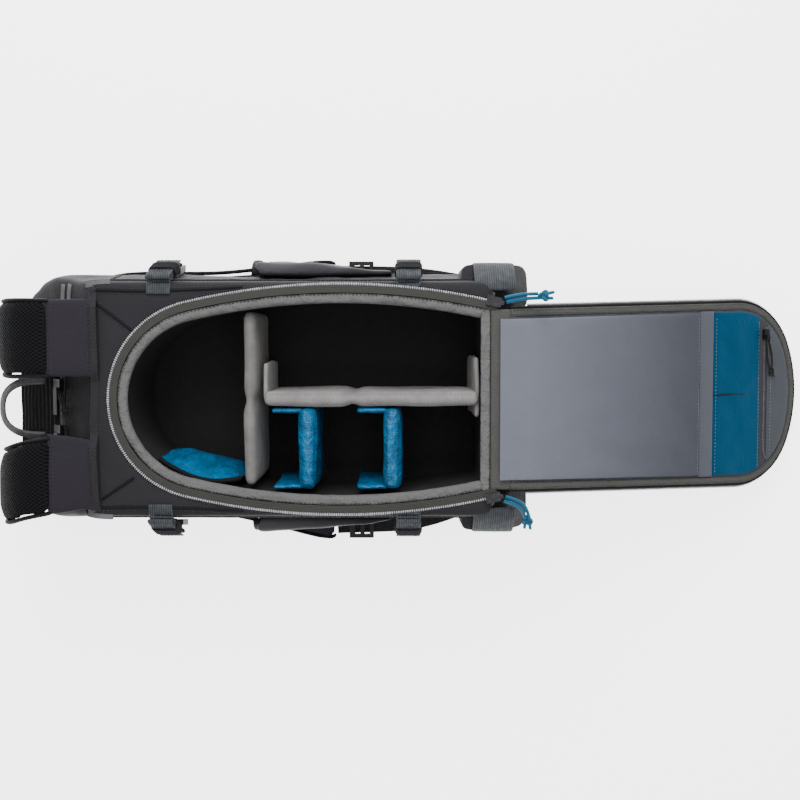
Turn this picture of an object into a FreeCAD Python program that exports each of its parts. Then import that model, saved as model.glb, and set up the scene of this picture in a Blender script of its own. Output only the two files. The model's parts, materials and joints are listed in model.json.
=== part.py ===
"""Camera backpack, lying on its front with the harness side up and the rear access lid open.

Frame: origin at the middle of the flat face it rests on, +X towards the bag's foot (the lid's
hinge side), +Y towards the wearer's left, +Z up through the opening. Millimetres.
"""
import FreeCAD, Part
import math
import os
import Sketcher
from FreeCAD import Placement, Rotation, Vector

DRIVING = {
    # the bag's body
    "rim_level": 170,
    "base_level": 28,
    "widest_level": 95,
    "head_end": 252,
    "foot_end": 252,
    "half_width": 121,
    "rim_half_width": 109.5,
    "base_half_width": 113,
    "skin": 2.5,
    "head_slope_top": 156,
    "head_slope_foot": 85,
    "head_corner": 60,
    # the opening: a nose arc, two long side arcs and a straight hinge end
    "nose_centre": -51,
    "nose_radius": 93,
    "side_centre": 73,
    "side_radius": 630,
    "hinge_line": 223,
    "wall_inset": 12,
    "lining": 1.5,
    "rim_inset": 17.5,
    "floor_level": 38,
    # the lid, in its own frame: x from the hinge, z out of its inner face
    "hinge_level": 175,
    "lid_start": 8,
    "lid_hinge_half": 85,
    "lid_corner_half": 24,
    "lid_corner_radius": 70,
    "lid_end_centre": 230,
    "lid_end_radius": 130,
    "lid_thick": 16,
    "lid_seam": 231,
    "lid_welt": 248,
    "lid_pocket": 311,
    "lid_zip": 321,
    "lid_panel_inset": 12,
    # harness, webbing and dividers
    "strap_seam": 154,
    "wing_end": 196,
    "strap_thick": 12,
    "web_thick": 1.8,
    "web_wide": 20,
    "hip_web_wide": 38,
    "front_half_long": 170,
    "front_half_wide": 76,
    "divider_thick": 16,
    "divider_top": 158,
    "cord": 3.4,
    "thin_cord": 2.4,
}
LID_DROP_DEG = 26.3
GAP = 0.5

doc = FreeCAD.newDocument("camera_bag")
sheet = doc.addObject("Spreadsheet::Sheet", "Sizes")
for row, (alias, value) in enumerate(DRIVING.items(), start=1):
    sheet.set(f"A{row}", alias.replace("_", " "))
    sheet.set(f"B{row}", str(value))
    sheet.setAlias(f"B{row}", alias)
doc.recompute()


class Size:
    """A number together with the spreadsheet expression that it comes from."""

    def __init__(self, value, text):
        self.value = float(value)
        self.text = text

    def join(self, other, sign, value):
        text = other.text if isinstance(other, Size) else str(other)
        return Size(value, f"({self.text} {sign} {text})")

    def __add__(self, other):
        return self.join(other, "+", self.value + number(other))

    def __sub__(self, other):
        return self.join(other, "-", self.value - number(other))

    def __mul__(self, other):
        return self.join(other, "*", self.value * number(other))

    def __truediv__(self, other):
        return self.join(other, "/", self.value / number(other))

    def __neg__(self):
        return Size(-self.value, f"(0 - {self.text})")

    __radd__ = __add__
    __rmul__ = __mul__


def number(size):
    return size.value if isinstance(size, Size) else float(size)


def size(alias):
    """The driving dimension kept in the sheet under this alias."""
    return Size(sheet.get(alias), f"Sizes.{alias}")


def bind(thing, prop, value):
    """Sets a property from a size, by its expression, or from a plain number."""
    if isinstance(value, Size):
        thing.setExpression(prop, value.text)
    elif "." not in prop:
        setattr(thing, prop, value)
    else:
        thing.setExpression(prop, str(value))


def at(x, y, z, axis=Vector(0, 0, 1), turn=0):
    return Placement(Vector(number(x), number(y), number(z)), Rotation(axis, turn))


parts = []


def keep(thing, label, place=None):
    """Names an object as a sub-part of the bag, and places it."""
    thing.Label = label
    if place is not None:
        thing.Placement = place
    parts.append(thing)
    return thing


# ---- sketches ----------------------------------------------------------------------------


def plane_sketch(body, role, offset):
    """A sketch on one of the body's own planes, moved along the plane's normal by offset."""
    plane = next(f for f in body.Origin.OriginFeatures if f.Role == role)
    sketch = body.newObject("Sketcher::SketchObject", "Outline")
    sketch.AttachmentSupport = [(plane, "")]
    sketch.MapMode = "FlatFace"
    bind(sketch, ".AttachmentOffset.Base.z", offset)
    return sketch


def fix(sketch, kind, places, value):
    """Adds a dimension to the sketch and binds it to the sheet."""
    index = sketch.addConstraint(Sketcher.Constraint(kind, *places, number(value)))
    if isinstance(value, Size):
        sketch.setExpression(f"Constraints[{index}]", value.text)


def fix_point(sketch, edge, end, x, y):
    fix(sketch, "DistanceX", (-1, 1, edge, end), x)
    fix(sketch, "DistanceY", (-1, 1, edge, end), y)


def polygon(sketch, points):
    """Straight edges through the points, each one a pair of sizes."""
    flat = [Vector(number(x), number(y), 0) for x, y in points]
    count = len(flat)
    for i in range(count):
        sketch.addGeometry(Part.LineSegment(flat[i], flat[(i + 1) % count]), False)
    for i in range(count):
        sketch.addConstraint(Sketcher.Constraint("Coincident", i, 2, (i + 1) % count, 1))
    for i, (x, y) in enumerate(points):
        fix_point(sketch, i, 1, x, y)


def arc(sketch, x, y, radius, start, end):
    """A circular edge, anticlockwise between two angles in degrees. Returns its number."""
    circle = Part.Circle(Vector(x, y, 0), Vector(0, 0, 1), radius)
    return sketch.addGeometry(
        Part.ArcOfCircle(circle, math.radians(start), math.radians(end)), False
    )


def line(sketch, a, b):
    return sketch.addGeometry(Part.LineSegment(Vector(*a, 0), Vector(*b, 0)), False)


def opening_outline(sketch, inset, end):
    """The opening's outline moved in by inset, cut straight across at x = end."""
    nose, side = size("nose_radius") - inset, size("side_radius") - inset
    nose_x, side_x = size("nose_centre"), size("side_centre")
    between = side.value - nose.value
    step = side_x.value - nose_x.value
    drop = math.sqrt(between**2 - step**2)
    touch = math.degrees(math.atan2(drop, -step))
    stop = math.degrees(math.acos((number(end) - side_x.value) / side.value))
    half = side.value * math.sin(math.radians(stop)) - drop
    arc(sketch, nose_x.value, 0, nose.value, touch, 360 - touch)
    arc(sketch, side_x.value, -drop, side.value, stop, touch)
    arc(sketch, side_x.value, drop, side.value, -touch, -stop)
    line(sketch, (number(end), half), (number(end), -half))
    sketch.addConstraint(Sketcher.Constraint("Tangent", 1, 2, 0, 1))
    sketch.addConstraint(Sketcher.Constraint("Tangent", 0, 2, 2, 1))
    sketch.addConstraint(Sketcher.Constraint("Coincident", 1, 1, 3, 1))
    sketch.addConstraint(Sketcher.Constraint("Coincident", 3, 2, 2, 2))
    sketch.addConstraint(Sketcher.Constraint("Vertical", 3))
    fix(sketch, "Radius", (0,), nose)
    fix(sketch, "Radius", (1,), side)
    fix(sketch, "Radius", (2,), side)
    fix_point(sketch, 0, 3, nose_x, 0)
    fix(sketch, "DistanceX", (-1, 1, 1, 3), side_x)
    fix(sketch, "DistanceX", (-1, 1, 2, 3), side_x)
    fix(sketch, "DistanceX", (-1, 1, 3, 1), end)


def lid_outline(sketch, inset, start):
    """The lid's outline moved in by inset: two sides, two round corners and a blunt end arc."""
    corner, end = size("lid_corner_radius") - inset, size("lid_end_radius") - inset
    end_x, corner_y = size("lid_end_centre"), size("lid_corner_half")
    half = size("lid_hinge_half") - inset
    between = end.value - corner.value
    corner_x = end_x.value + math.sqrt(between**2 - corner_y.value**2)
    touch = math.degrees(math.asin(corner_y.value / between))
    away = math.hypot(corner_x - number(start), corner_y.value - half.value)
    lean = math.atan2(half.value - corner_y.value, number(start) - corner_x)
    lift = math.degrees(lean - math.acos(corner.value / away))
    side = (
        corner_x + corner.value * math.cos(math.radians(lift)),
        corner_y.value + corner.value * math.sin(math.radians(lift)),
    )
    arc(sketch, end_x.value, 0, end.value, -touch, touch)
    arc(sketch, corner_x, corner_y.value, corner.value, touch, lift)
    arc(sketch, corner_x, -corner_y.value, corner.value, -lift, -touch)
    line(sketch, side, (number(start), half.value))
    line(sketch, (side[0], -side[1]), (number(start), -half.value))
    line(sketch, (number(start), half.value), (number(start), -half.value))
    sketch.addConstraint(Sketcher.Constraint("Tangent", 0, 2, 1, 1))
    sketch.addConstraint(Sketcher.Constraint("Tangent", 2, 2, 0, 1))
    sketch.addConstraint(Sketcher.Constraint("Tangent", 1, 2, 3, 1))
    sketch.addConstraint(Sketcher.Constraint("Tangent", 2, 1, 4, 1))
    sketch.addConstraint(Sketcher.Constraint("Coincident", 3, 2, 5, 1))
    sketch.addConstraint(Sketcher.Constraint("Coincident", 4, 2, 5, 2))
    fix(sketch, "Radius", (0,), end)
    fix(sketch, "Radius", (1,), corner)
    fix(sketch, "Radius", (2,), corner)
    fix_point(sketch, 0, 3, end_x, 0)
    fix(sketch, "DistanceY", (-1, 1, 1, 3), corner_y)
    fix(sketch, "DistanceY", (-1, 1, 2, 3), -corner_y)
    fix_point(sketch, 5, 1, start, half)
    fix_point(sketch, 5, 2, start, -half)


# ---- solids ------------------------------------------------------------------------------


def slab(role, draw, low, high, hole=None, corner=None):
    """A body padded from low to high across the plane, with an optional cut-out and corners."""
    body = doc.addObject("PartDesign::Body", "Piece")
    across = role == "XZ_Plane"
    base = -Size(number(high), as_text(high)) if across else low
    sketch = plane_sketch(body, role, base)
    draw(sketch)
    pad = body.newObject("PartDesign::Pad", "Pad")
    pad.Profile = sketch
    bind(pad, "Length", as_size(high) - low)
    if hole is not None:
        inner = plane_sketch(body, role, base)
        hole(inner)
        cut = body.newObject("PartDesign::Pocket", "Cutout")
        cut.Profile = inner
        cut.Type = "ThroughAll"
        cut.SideType = "Symmetric"
    if corner is not None:
        doc.recompute()
        round_corners(body, role, corner)
    return body


def as_text(value):
    return value.text if isinstance(value, Size) else str(value)


def as_size(value):
    return value if isinstance(value, Size) else Size(value, str(value))


def round_corners(body, role, radius):
    """Rounds the body's straight edges that run along the padding direction."""
    normal = {"XY_Plane": Vector(0, 0, 1), "XZ_Plane": Vector(0, 1, 0)}.get(role, Vector(1, 0, 0))
    base = body.Tip
    names = []
    for index, edge in enumerate(base.Shape.Edges, start=1):
        if edge.Curve.TypeId != "Part::GeomLine":
            continue
        if abs(edge.Curve.Direction.dot(normal)) > 0.999:
            names.append(f"Edge{index}")
    fillet = body.newObject("PartDesign::Fillet", "Corners")
    fillet.Base = (base, names)
    bind(fillet, "Radius", radius)


def plate(corners, low, high, hole=None, corner=None):
    """A plate seen from above: a polygon from one level to another."""
    return slab("XY_Plane", lambda s: polygon(s, corners), low, high, hole, corner)


def rectangle(x0, x1, y0, y1):
    return [(x0, y0), (x1, y0), (x1, y1), (x0, y1)]


def block(x0, x1, y0, y1, z0, z1):
    """A plain box used to cut or to bound another piece."""
    box = doc.addObject("Part::Box", "Block")
    lows = [as_size(v) for v in (x0, y0, z0)]
    highs = [as_size(v) for v in (x1, y1, z1)]
    for prop, low, high in zip(("Length", "Width", "Height"), lows, highs):
        bind(box, prop, high - low)
    for letter, low in zip("xyz", lows):
        box.setExpression(f".Placement.Base.{letter}", low.text)
    return box


def boolean(kind, base, tool):
    made = doc.addObject(f"Part::{kind}", kind)
    made.Base = base
    made.Tool = tool
    return made


def opening_slab(inset, low, high, end, hole_inset=None, hole_end=None):
    """A plate of the opening's outline, or a ring between two insets of it."""
    hole = None
    if hole_inset is not None:
        hole = lambda s: opening_outline(s, hole_inset, hole_end)
    return slab("XY_Plane", lambda s: opening_outline(s, inset, end), low, high, hole)


def lid_slab(inset, low, high, start, hole_inset=None, hole_start=None):
    """A plate of the lid's outline, or a ring between two insets of it."""
    hole = None
    if hole_inset is not None:
        hole = lambda s: lid_outline(s, hole_inset, hole_start)
    return slab("XY_Plane", lambda s: lid_outline(s, inset, start), low, high, hole)


# ---- body --------------------------------------------------------------------------------

RIM = size("rim_level")
BASE = size("base_level")
FLOOR = size("floor_level")
HINGE = size("hinge_line")
WALL = size("wall_inset")
SKIN = size("skin")
RIM_INSET = size("rim_inset")
CAVITY_END = HINGE - WALL - 2
MOUTH_END = HINGE - 11
BAND_END = HINGE - 11.2
# where the side walls meet the head wall
SHOULDER = size("nose_centre") - 20
# cutters reach this far past the faces that they open
CLEAR = 10
# the side profile: toes cut off its lower corners, the foot's slope, and how much less than
# the inset a slanted face moves
HEAD_TOE = 30
FOOT_TOE = 25
FOOT_SLOPE_DROP = 50
MOUTH_WALL = HINGE - 8
MOUTH_DROP = 17
LEAN = 0.4
# the zip round the opening
TAPE_INSET = 8
HALF_TEETH = 1.4
TEETH_HIGH = 1.6


def bag_form(inset):
    """The bag's outer form moved in by inset: side profile, plan and cross-section together."""
    head, foot = -size("head_end") + inset, size("foot_end") - inset
    top, low = RIM - inset, BASE + inset
    profile = [
        (-size("head_slope_top") + inset, top),
        (head, size("head_slope_foot") - inset * LEAN),
        (head, BASE + HEAD_TOE),
        (head + HEAD_TOE, low),
        (foot - FOOT_TOE, low),
        (foot, BASE + FOOT_TOE),
        (foot, RIM - FOOT_SLOPE_DROP - inset * LEAN),
        (MOUTH_WALL - inset, RIM - MOUTH_DROP - inset * LEAN),
        (MOUTH_WALL - inset, top),
    ]
    half = size("half_width") - inset
    plan = rectangle(head, foot, -half, half)
    rim_half = size("rim_half_width") - inset
    base_half = size("base_half_width") - inset
    middle = size("widest_level")
    section = [
        (-base_half, low),
        (base_half, low),
        (half, middle),
        (rim_half, top),
        (-rim_half, top),
        (-half, middle),
    ]
    side = slab("XZ_Plane", lambda s: polygon(s, profile), -half, half)
    seen = plate(plan, low, top, corner=size("head_corner") - inset)
    across = slab("YZ_Plane", lambda s: polygon(s, section), head, foot)
    return boolean("Common", boolean("Common", side, seen), across)


def stuffing(x0, x1, y0, y1, low, high):
    """The foam between two levels that fills the bag's skin inside a box."""
    return boolean("Common", bag_form(SKIN), block(x0, x1, y0, y1, low, high))


def padded_wall(x0, x1, y0, y1):
    """A stretch of the bag's wall: its foam, with the main cavity cut out."""
    cavity = opening_slab(WALL, FLOOR, RIM + CLEAR, CAVITY_END)
    return boolean("Cut", stuffing(x0, x1, y0, y1, FLOOR, RIM - 3), cavity)


def top_pocket_room():
    """The hollow in the head wall that the top pocket's zip opens into."""
    head, wall, low, high, half_wide = -238, -147, 44, 154, 86
    profile = [(head, low), (wall, low), (wall, high), (wall - 15, high), (head, low + 38)]
    return slab("XZ_Plane", lambda s: polygon(s, profile), -half_wide, half_wide)


def make_body():
    outer = boolean("Cut", bag_form(0), bag_form(SKIN))
    mouth = opening_slab(0, RIM - CLEAR, RIM + CLEAR, MOUTH_END)
    keep(boolean("Cut", outer, mouth), "outer_shell")

    head, foot, half = size("head_end"), size("foot_end"), size("half_width")
    keep(padded_wall(SHOULDER, CAVITY_END, 0, half), "side_padding_left")
    keep(padded_wall(SHOULDER, CAVITY_END, -half, 0), "side_padding_right")
    head_wall = padded_wall(-head, SHOULDER, -half, half)
    keep(boolean("Cut", head_wall, top_pocket_room()), "head_padding")
    keep(stuffing(CAVITY_END, foot, -half, half, FLOOR, RIM - 3), "foot_padding")
    keep(stuffing(-head, foot, -half, half, BASE, FLOOR), "floor_padding")


def make_lining():
    """The lining tub, the band that covers its edge, and the half of the zip round the opening."""
    cloth = size("lining")
    tub = opening_slab(WALL, FLOOR, RIM - 3, CAVITY_END)
    hollow = opening_slab(WALL + cloth, FLOOR + cloth, RIM + CLEAR, CAVITY_END - cloth)
    keep(boolean("Cut", tub, hollow), "lining_tub")
    band_end = HINGE - RIM_INSET - 2
    keep(opening_slab(6, RIM - 3, RIM - 1, BAND_END, RIM_INSET, band_end), "rim_band")
    past = HINGE + CLEAR
    keep(opening_slab(0.5, RIM - 1, RIM, BAND_END, TAPE_INSET, past), "opening_zip_tape")
    teeth = opening_slab(-HALF_TEETH, RIM, RIM + TEETH_HIGH, HINGE, HALF_TEETH, past)
    keep(teeth, "opening_zip_teeth")


def make_yoke():
    """The harness panel that is sewn over the top of the bag, round the opening's nose."""
    seam, half = size("strap_seam"), size("rim_half_width") - 7
    plan = rectangle(-seam + GAP, SHOULDER, -half, half)
    clear_of_zip = lambda s: opening_outline(s, -3, HINGE + CLEAR)
    keep(plate(plan, RIM, RIM + 1, hole=clear_of_zip), "yoke_panel")
    strip_half = 80
    strip = rectangle(HINGE - 10, HINGE - 2, -strip_half, strip_half)
    keep(plate(strip, RIM, RIM + 2), "hinge_strip")


def make_front_pocket():
    """The flat pocket on the bag's front, which it lies on, with its zip on the foot end."""
    long, wide = size("front_half_long"), size("front_half_wide")
    wall, zip_half, zip_low, zip_high = 6, 56, 9, 19
    outer = plate(rectangle(-long, long, -wide, wide), 0, BASE, corner=20)
    hollow = block(-long + wall, long - wall, -wide + wall, wide - wall, 4, BASE - wall)
    keep(boolean("Cut", outer, hollow), "front_pocket")
    zip_strip = plate(rectangle(long, long + 2, -zip_half, zip_half), zip_low, zip_high)
    keep(zip_strip, "front_pocket_zip")
    slider_y, tab_y, tab_end = -54, -42, -24
    body = block(long + 2.3, long + 6, slider_y, tab_y, zip_low + 1.5, zip_high - 1.5)
    tab = block(long + 3.4, long + 5, tab_y, tab_end, zip_low + 3, zip_high - 3)
    keep(boolean("Fuse", body, tab), "front_pocket_slider")


# ---- the top pocket on the head slope ------------------------------------------------------

SLOPE_RUN = DRIVING["head_end"] - DRIVING["head_slope_top"]
SLOPE_RISE = DRIVING["rim_level"] - DRIVING["head_slope_foot"]
SLOPE_DEG = math.degrees(math.atan2(SLOPE_RISE, SLOPE_RUN))


def on_slope():
    """The head slope's own frame: x up the slope from its lower edge, z out of the fabric."""
    foot = size("head_slope_foot")
    return at(-size("head_end"), 0, foot, Vector(0, 1, 0), -SLOPE_DEG)


def make_top_pocket():
    zip_line, right, left = 74, -64, 68
    panel = plate(rectangle(4, zip_line - 5, right + 6, left - 6), 0, 2)
    keep(panel, "top_pocket_panel", on_slope())
    tape = plate(rectangle(zip_line - 4.5, zip_line + 4.5, right, left), 0, 1)
    teeth = plate(rectangle(zip_line - 1.5, zip_line + 1.5, right + 2, left - 2), 1, 2.6)
    keep(boolean("Fuse", tape, teeth), "top_pocket_zip", on_slope())
    for name, y in (("left", 12), ("right", -32)):
        keep(top_pocket_slider(zip_line, y), f"top_pocket_slider_{name}", on_slope())


def top_pocket_slider(x, y):
    """A slider that straddles the teeth, with its pull tab lying towards the bag's right."""
    shell = block(x - 5, x + 5, y - 6, y + 6, 1.3, 6.5)
    track = block(x - 1.9, x + 1.9, y - 7, y + 7, 1.2, 3.1)
    tab = block(x - 3, x + 3, y - 28, y - 2, 6.5, 8.5)
    return boolean("Fuse", boolean("Cut", shell, track), tab)


# ---- carrying ------------------------------------------------------------------------------

HANDLE_PIVOT = (-214, -10, 129)


def make_handle():
    """The haul loop: a strip of webbing bent to a C, standing out from the head slope."""
    x, y, z = HANDLE_PIVOT
    thick, tall, reach, bend = 3.5, 14, 42, 27
    body = doc.addObject("PartDesign::Body", "Piece")
    path = plane_sketch(body, "XY_Plane", z)
    left = line(path, (x, y + bend), (x - reach + bend, y + bend))
    turn = arc(path, x - reach + bend, y, bend, 90, 270)
    right = line(path, (x - reach + bend, y - bend), (x, y - bend))
    path.addConstraint(Sketcher.Constraint("Tangent", left, 2, turn, 1))
    path.addConstraint(Sketcher.Constraint("Tangent", turn, 2, right, 1))
    path.addConstraint(Sketcher.Constraint("Horizontal", right))
    fix(path, "Radius", (turn,), bend)
    fix_point(path, left, 1, x, y + bend)
    fix_point(path, turn, 3, x - reach + bend, y)
    fix(path, "DistanceX", (-1, 1, right, 2), x)
    section = plane_sketch(body, "YZ_Plane", x)
    side = y + bend
    band = rectangle(side - thick / 2, side + thick / 2, z - tall / 2, z + tall / 2)
    polygon(section, band)
    pipe = body.newObject("PartDesign::AdditivePipe", "Loop")
    pipe.Profile = section
    pipe.Spine = path
    keep(body, "grab_handle")


STRAP_STATIONS = (
    # along the strap's middle line: x, z, half width
    (-197, 178.5, 35),
    (-226, 177, 35),
    (-247, 162, 34),
    (-258, 130, 33),
    (-263, 85, 32),
    (-261, 40, 30),
    (-249, 14, 28),
    (-226, 7.4, 25),
    (-170, 7.4, 23),
    (-60, 7.4, 24),
    (42, 7.4, 25),
    (60, 7.4, 18),
)
STRAP_MIDDLE = {
    "left": (57, 57, 57, 58, 60, 62, 66, 74, 101, 103, 113, 118),
    "right": (-70, -75, -81, -84, -85, -86, -88, -92, -101, -108, -131, -137),
}


def band_section(back, here, ahead, y, half, thick):
    """A flattened eight-sided section of a strap, square to the way it runs."""
    run = Vector(ahead[0] - back[0], 0, ahead[1] - back[1])
    out = Vector(-run.z, 0, run.x).normalize()
    centre = Vector(here[0], y, here[1])
    edge, bevel = thick / 2, thick * 0.3
    corners = [
        (-half + bevel, -edge),
        (half - bevel, -edge),
        (half, -edge + bevel),
        (half, edge - bevel),
        (half - bevel, edge),
        (-half + bevel, edge),
        (-half, edge - bevel),
        (-half, -edge + bevel),
    ]
    points = [centre + Vector(0, across, 0) + out * up for across, up in corners]
    return Part.makePolygon(points + points[:1])


def band(stations, middle, thick):
    """A flat strap through stations of x, z and half width, with its middle line's y given."""
    places = [(x, z) for x, z, half in stations]
    last = len(places) - 1
    sections = []
    for i, (x, z, half) in enumerate(stations):
        before, after = places[max(i - 1, 0)], places[min(i + 1, last)]
        sections.append(band_section(before, (x, z), after, middle[i], half, thick))
    made = doc.addObject("Part::Feature", "Band")
    made.Shape = Part.makeLoft(sections, True, True)
    return made


def make_straps():
    """Each shoulder strap: a flat wing sewn to the yoke, then the padded strap."""
    seam, end = -size("strap_seam"), -size("wing_end")
    level, wing_thick = RIM + 1, 4
    plans = {
        "left": [(seam, 22), (seam, 93), (end, 92), (end, 22)],
        "right": [(seam, -106), (seam, -29), (end, -39), (end, -101)],
    }
    thick = sheet.get("strap_thick")
    for side, middle in STRAP_MIDDLE.items():
        keep(plate(plans[side], level, level + wing_thick), f"strap_wing_{side}")
        keep(band(STRAP_STATIONS, middle, thick), f"strap_pad_{side}", Placement())


WEBBING_STATIONS = ((61, 5.2, 10), (140, 4.8, 10), (195, 8, 10), (224, 26, 10))
WEBBING_MIDDLE = {"left": (124, 122, 114, 104), "right": (-143, -139, -122, -104)}


def make_strap_webbing():
    """The adjusting webbing from each strap's end, under a ladder lock, to the foot corner."""
    thick = sheet.get("web_thick")
    for side, middle in WEBBING_MIDDLE.items():
        keep(band(WEBBING_STATIONS, middle, thick), f"strap_webbing_{side}", Placement())
    keep(group([ladder_lock(middle[0]) for middle in WEBBING_MIDDLE.values()]), "ladder_locks")


def ladder_lock(y):
    """The two-slot buckle that lies on the webbing, with its middle at y."""
    x0, x1, low, high, half, slot_half, slot = 74, 100, 6.4, 11, 14, 10, 5.5
    frame = block(x0, x1, y - half, y + half, low, high)
    for x in (80, 90):
        frame = boolean("Cut", frame, block(x, x + slot, y - slot_half, y + slot_half, 0, 20))
    return frame


# ---- sides -------------------------------------------------------------------------------


def side_line(level, out):
    """How far the side of the bag stands from its middle plane at a level, plus out."""
    wide, base, rim = size("half_width"), size("base_half_width"), size("rim_half_width")
    middle = size("widest_level")
    if level < middle.value:
        share = (level - BASE.value) / (middle.value - BASE.value)
        return base + (wide - base) * round(share, 4) + out
    share = (level - middle.value) / (RIM.value - middle.value)
    return wide - (wide - rim) * round(share, 4) + out


def side_band(sign, x0, x1, levels, low_out, high_out):
    """A band on the bag's side, following it from the lowest level to the highest."""
    inner = [(side_line(z, low_out) * sign, z) for z in levels]
    outer = [(side_line(z, high_out) * sign, z) for z in reversed(levels)]
    return slab("YZ_Plane", lambda s: polygon(s, inner + outer), x0, x1)


def make_side_pockets():
    """A stretch pocket on each side, open towards the bag's head."""
    mouth, heel, end, low, high, cloth = -12, 92, 120, 62, 128, 2
    inner = side_line(DRIVING["widest_level"], 0.3)
    outer = side_line(DRIVING["widest_level"], 10)
    for side, sign in (("left", 1), ("right", -1)):
        form = [(mouth, inner), (end, inner), (heel, outer), (mouth, outer)]
        back, front = inner + 1.2, outer - 1.8
        room = [(mouth - 5, back), (end - 14, back), (heel - 4, front), (mouth - 5, front)]
        pouch = plate([(x, y * sign) for x, y in form], low, high)
        hollow = plate([(x, y * sign) for x, y in room], low + cloth, high - cloth)
        keep(boolean("Cut", pouch, hollow), f"side_pocket_{side}")


WEB_HEAD = (-106, -86)
WEB_FOOT = (126, 146)
FOLD_THICK = 6


def make_compression():
    """Two webbing straps on each side, with their folded tails, keepers and buckles."""
    thick = DRIVING["web_thick"]
    straps = {}
    keepers, buckles = [], []
    for side, sign in (("left", 1), ("right", -1)):
        webs = []
        for x0, x1 in (WEB_HEAD, WEB_FOOT):
            webs.append(side_band(sign, x0, x1, (40, 95, 160), GAP, GAP + thick))
            face = GAP + thick
            webs.append(side_band(sign, x0 - 1, x1 + 1, (128, 158), face, face + FOLD_THICK))
            keepers.append(keeper(sign, x0, x1, face + FOLD_THICK))
            buckles.append(buckle(sign, x0, x1, face + 0.1))
        straps[side] = webs
    for side, webs in straps.items():
        keep(group(webs), f"compression_straps_{side}")
    keep(group(keepers), "strap_keepers")
    keep(group(buckles), "side_release_buckles")


def keeper(sign, x0, x1, out):
    """An elastic band over the folded tail, open where it would pass under the webbing."""
    return side_band(sign, x0 - 2, x1 + 2, (138, 150), out, out + 1.2)


def buckle(sign, x0, x1, out):
    """A closed side-release buckle: its socket and the plug's two arms, as one moulded outline."""
    body = side_band(sign, x0 - 2.5, x1 + 2.5, (96, 124), out, out + 6)
    across = sorted((sign * 100, sign * 150))
    for low, high, below, above in (
        (x0 - 0.8, x0 + 3.6, 103, 115),
        (x1 - 3.6, x1 + 0.8, 103, 115),
        (x0 + 1, x1 - 1, 119, 121.4),
    ):
        body = boolean("Cut", body, block(low, high, *across, below, above))
    return body


def group(pieces):
    joined = pieces[0]
    for piece in pieces[1:]:
        joined = boolean("Fuse", joined, piece)
    return joined


def make_hip_webbing():
    """The broad belt webbing that wraps down both sides next to the foot end."""
    x0, thick, levels = 200, 2.2, (34, 95, 152)
    x1 = size("hip_web_wide") + x0
    for side, sign in (("left", 1), ("right", -1)):
        keep(side_band(sign, x0, x1, levels, GAP, GAP + thick), f"hip_webbing_{side}")


# ---- inside ------------------------------------------------------------------------------


def make_dividers():
    """Padded dividers with hook-and-loop flaps, standing on the floor of the lining."""
    low, top = FLOOR + size("lining") + 0.3, size("divider_top")
    thick, cross_half, flap = size("divider_thick"), 82.5, 5
    cross = plate(rectangle(-thick - 3, -3, -cross_half, cross_half), low, top, corner=6)
    keep(cross, "cross_divider")

    head, foot, half = -2, 203, 7
    run = plate(rectangle(head, foot, -half, half), low, top)
    near = plate(rectangle(head, head + flap, -half, 34), low, top - 6)
    far = plate(rectangle(foot - flap, foot, -18, 40), low, top - 8)
    keep(group([run, near, far]), "long_divider")

    for name, x in (("head", 41), ("foot", 121)):
        keep(short_divider(x, low, top), f"short_divider_{name}")


def short_divider(x, low, top):
    """A divider from the long one to the right wall, with a flap at each end."""
    half, flap_long, flap_thick, drop, inner, outer = 8, 26, 4, 4, -9, -86
    wall = plate(rectangle(x - half, x + half, outer, inner), low, top)
    x0, x1 = x - half - flap_long, x - half
    near = plate(rectangle(x0, x1, inner - flap_thick, inner), low + drop, top - drop)
    far = plate(rectangle(x0, x1, outer, outer + flap_thick), low + drop, top - drop)
    return group([wall, near, far])


def make_wall_pocket():
    """A slack pocket sewn on the right inner wall, next to the bag's nose."""
    x0, x1, low, top, edge = -96, -26, 52, 150, 154
    panel = plate([(x0, -59), (x1, -75), (x1, -72.5), (x0, -56.5)], low, top)
    binding = plate([(x0, -59.5), (x1, -75.5), (x1, -71.5), (x0, -55.5)], top, edge)
    keep(boolean("Fuse", panel, binding), "wall_pocket")


# ---- main zip sliders ----------------------------------------------------------------------

SLIDER_MIDDLE = 215


def make_main_sliders():
    """The two sliders of the main zip, parked at the hinge, each straddling the teeth."""
    radius, centre = DRIVING["side_radius"], DRIVING["side_centre"]
    step = centre - DRIVING["nose_centre"]
    drop = math.sqrt((radius - DRIVING["nose_radius"]) ** 2 - step**2)
    lean_angle = math.asin((SLIDER_MIDDLE - centre) / radius)
    y, lean = radius * math.cos(lean_angle) - drop, math.degrees(lean_angle)
    for side, sign in (("left", 1), ("right", -1)):
        shell = block(-7, 7, -4.5, 4.5, 0, 4.4)
        track = block(-8, 8, -1.9, 1.9, -1, 2.2)
        eye = block(5, 9.5, 0.4 * sign - 2, 0.4 * sign + 2, 2.5, 4.2)
        body = boolean("Fuse", boolean("Cut", shell, track), eye)
        place = at(SLIDER_MIDDLE, sign * y, RIM + 0.3, Vector(0, 0, 1), -sign * lean)
        keep(body, f"main_slider_{side}", place)


# ---- cords -------------------------------------------------------------------------------


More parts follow.
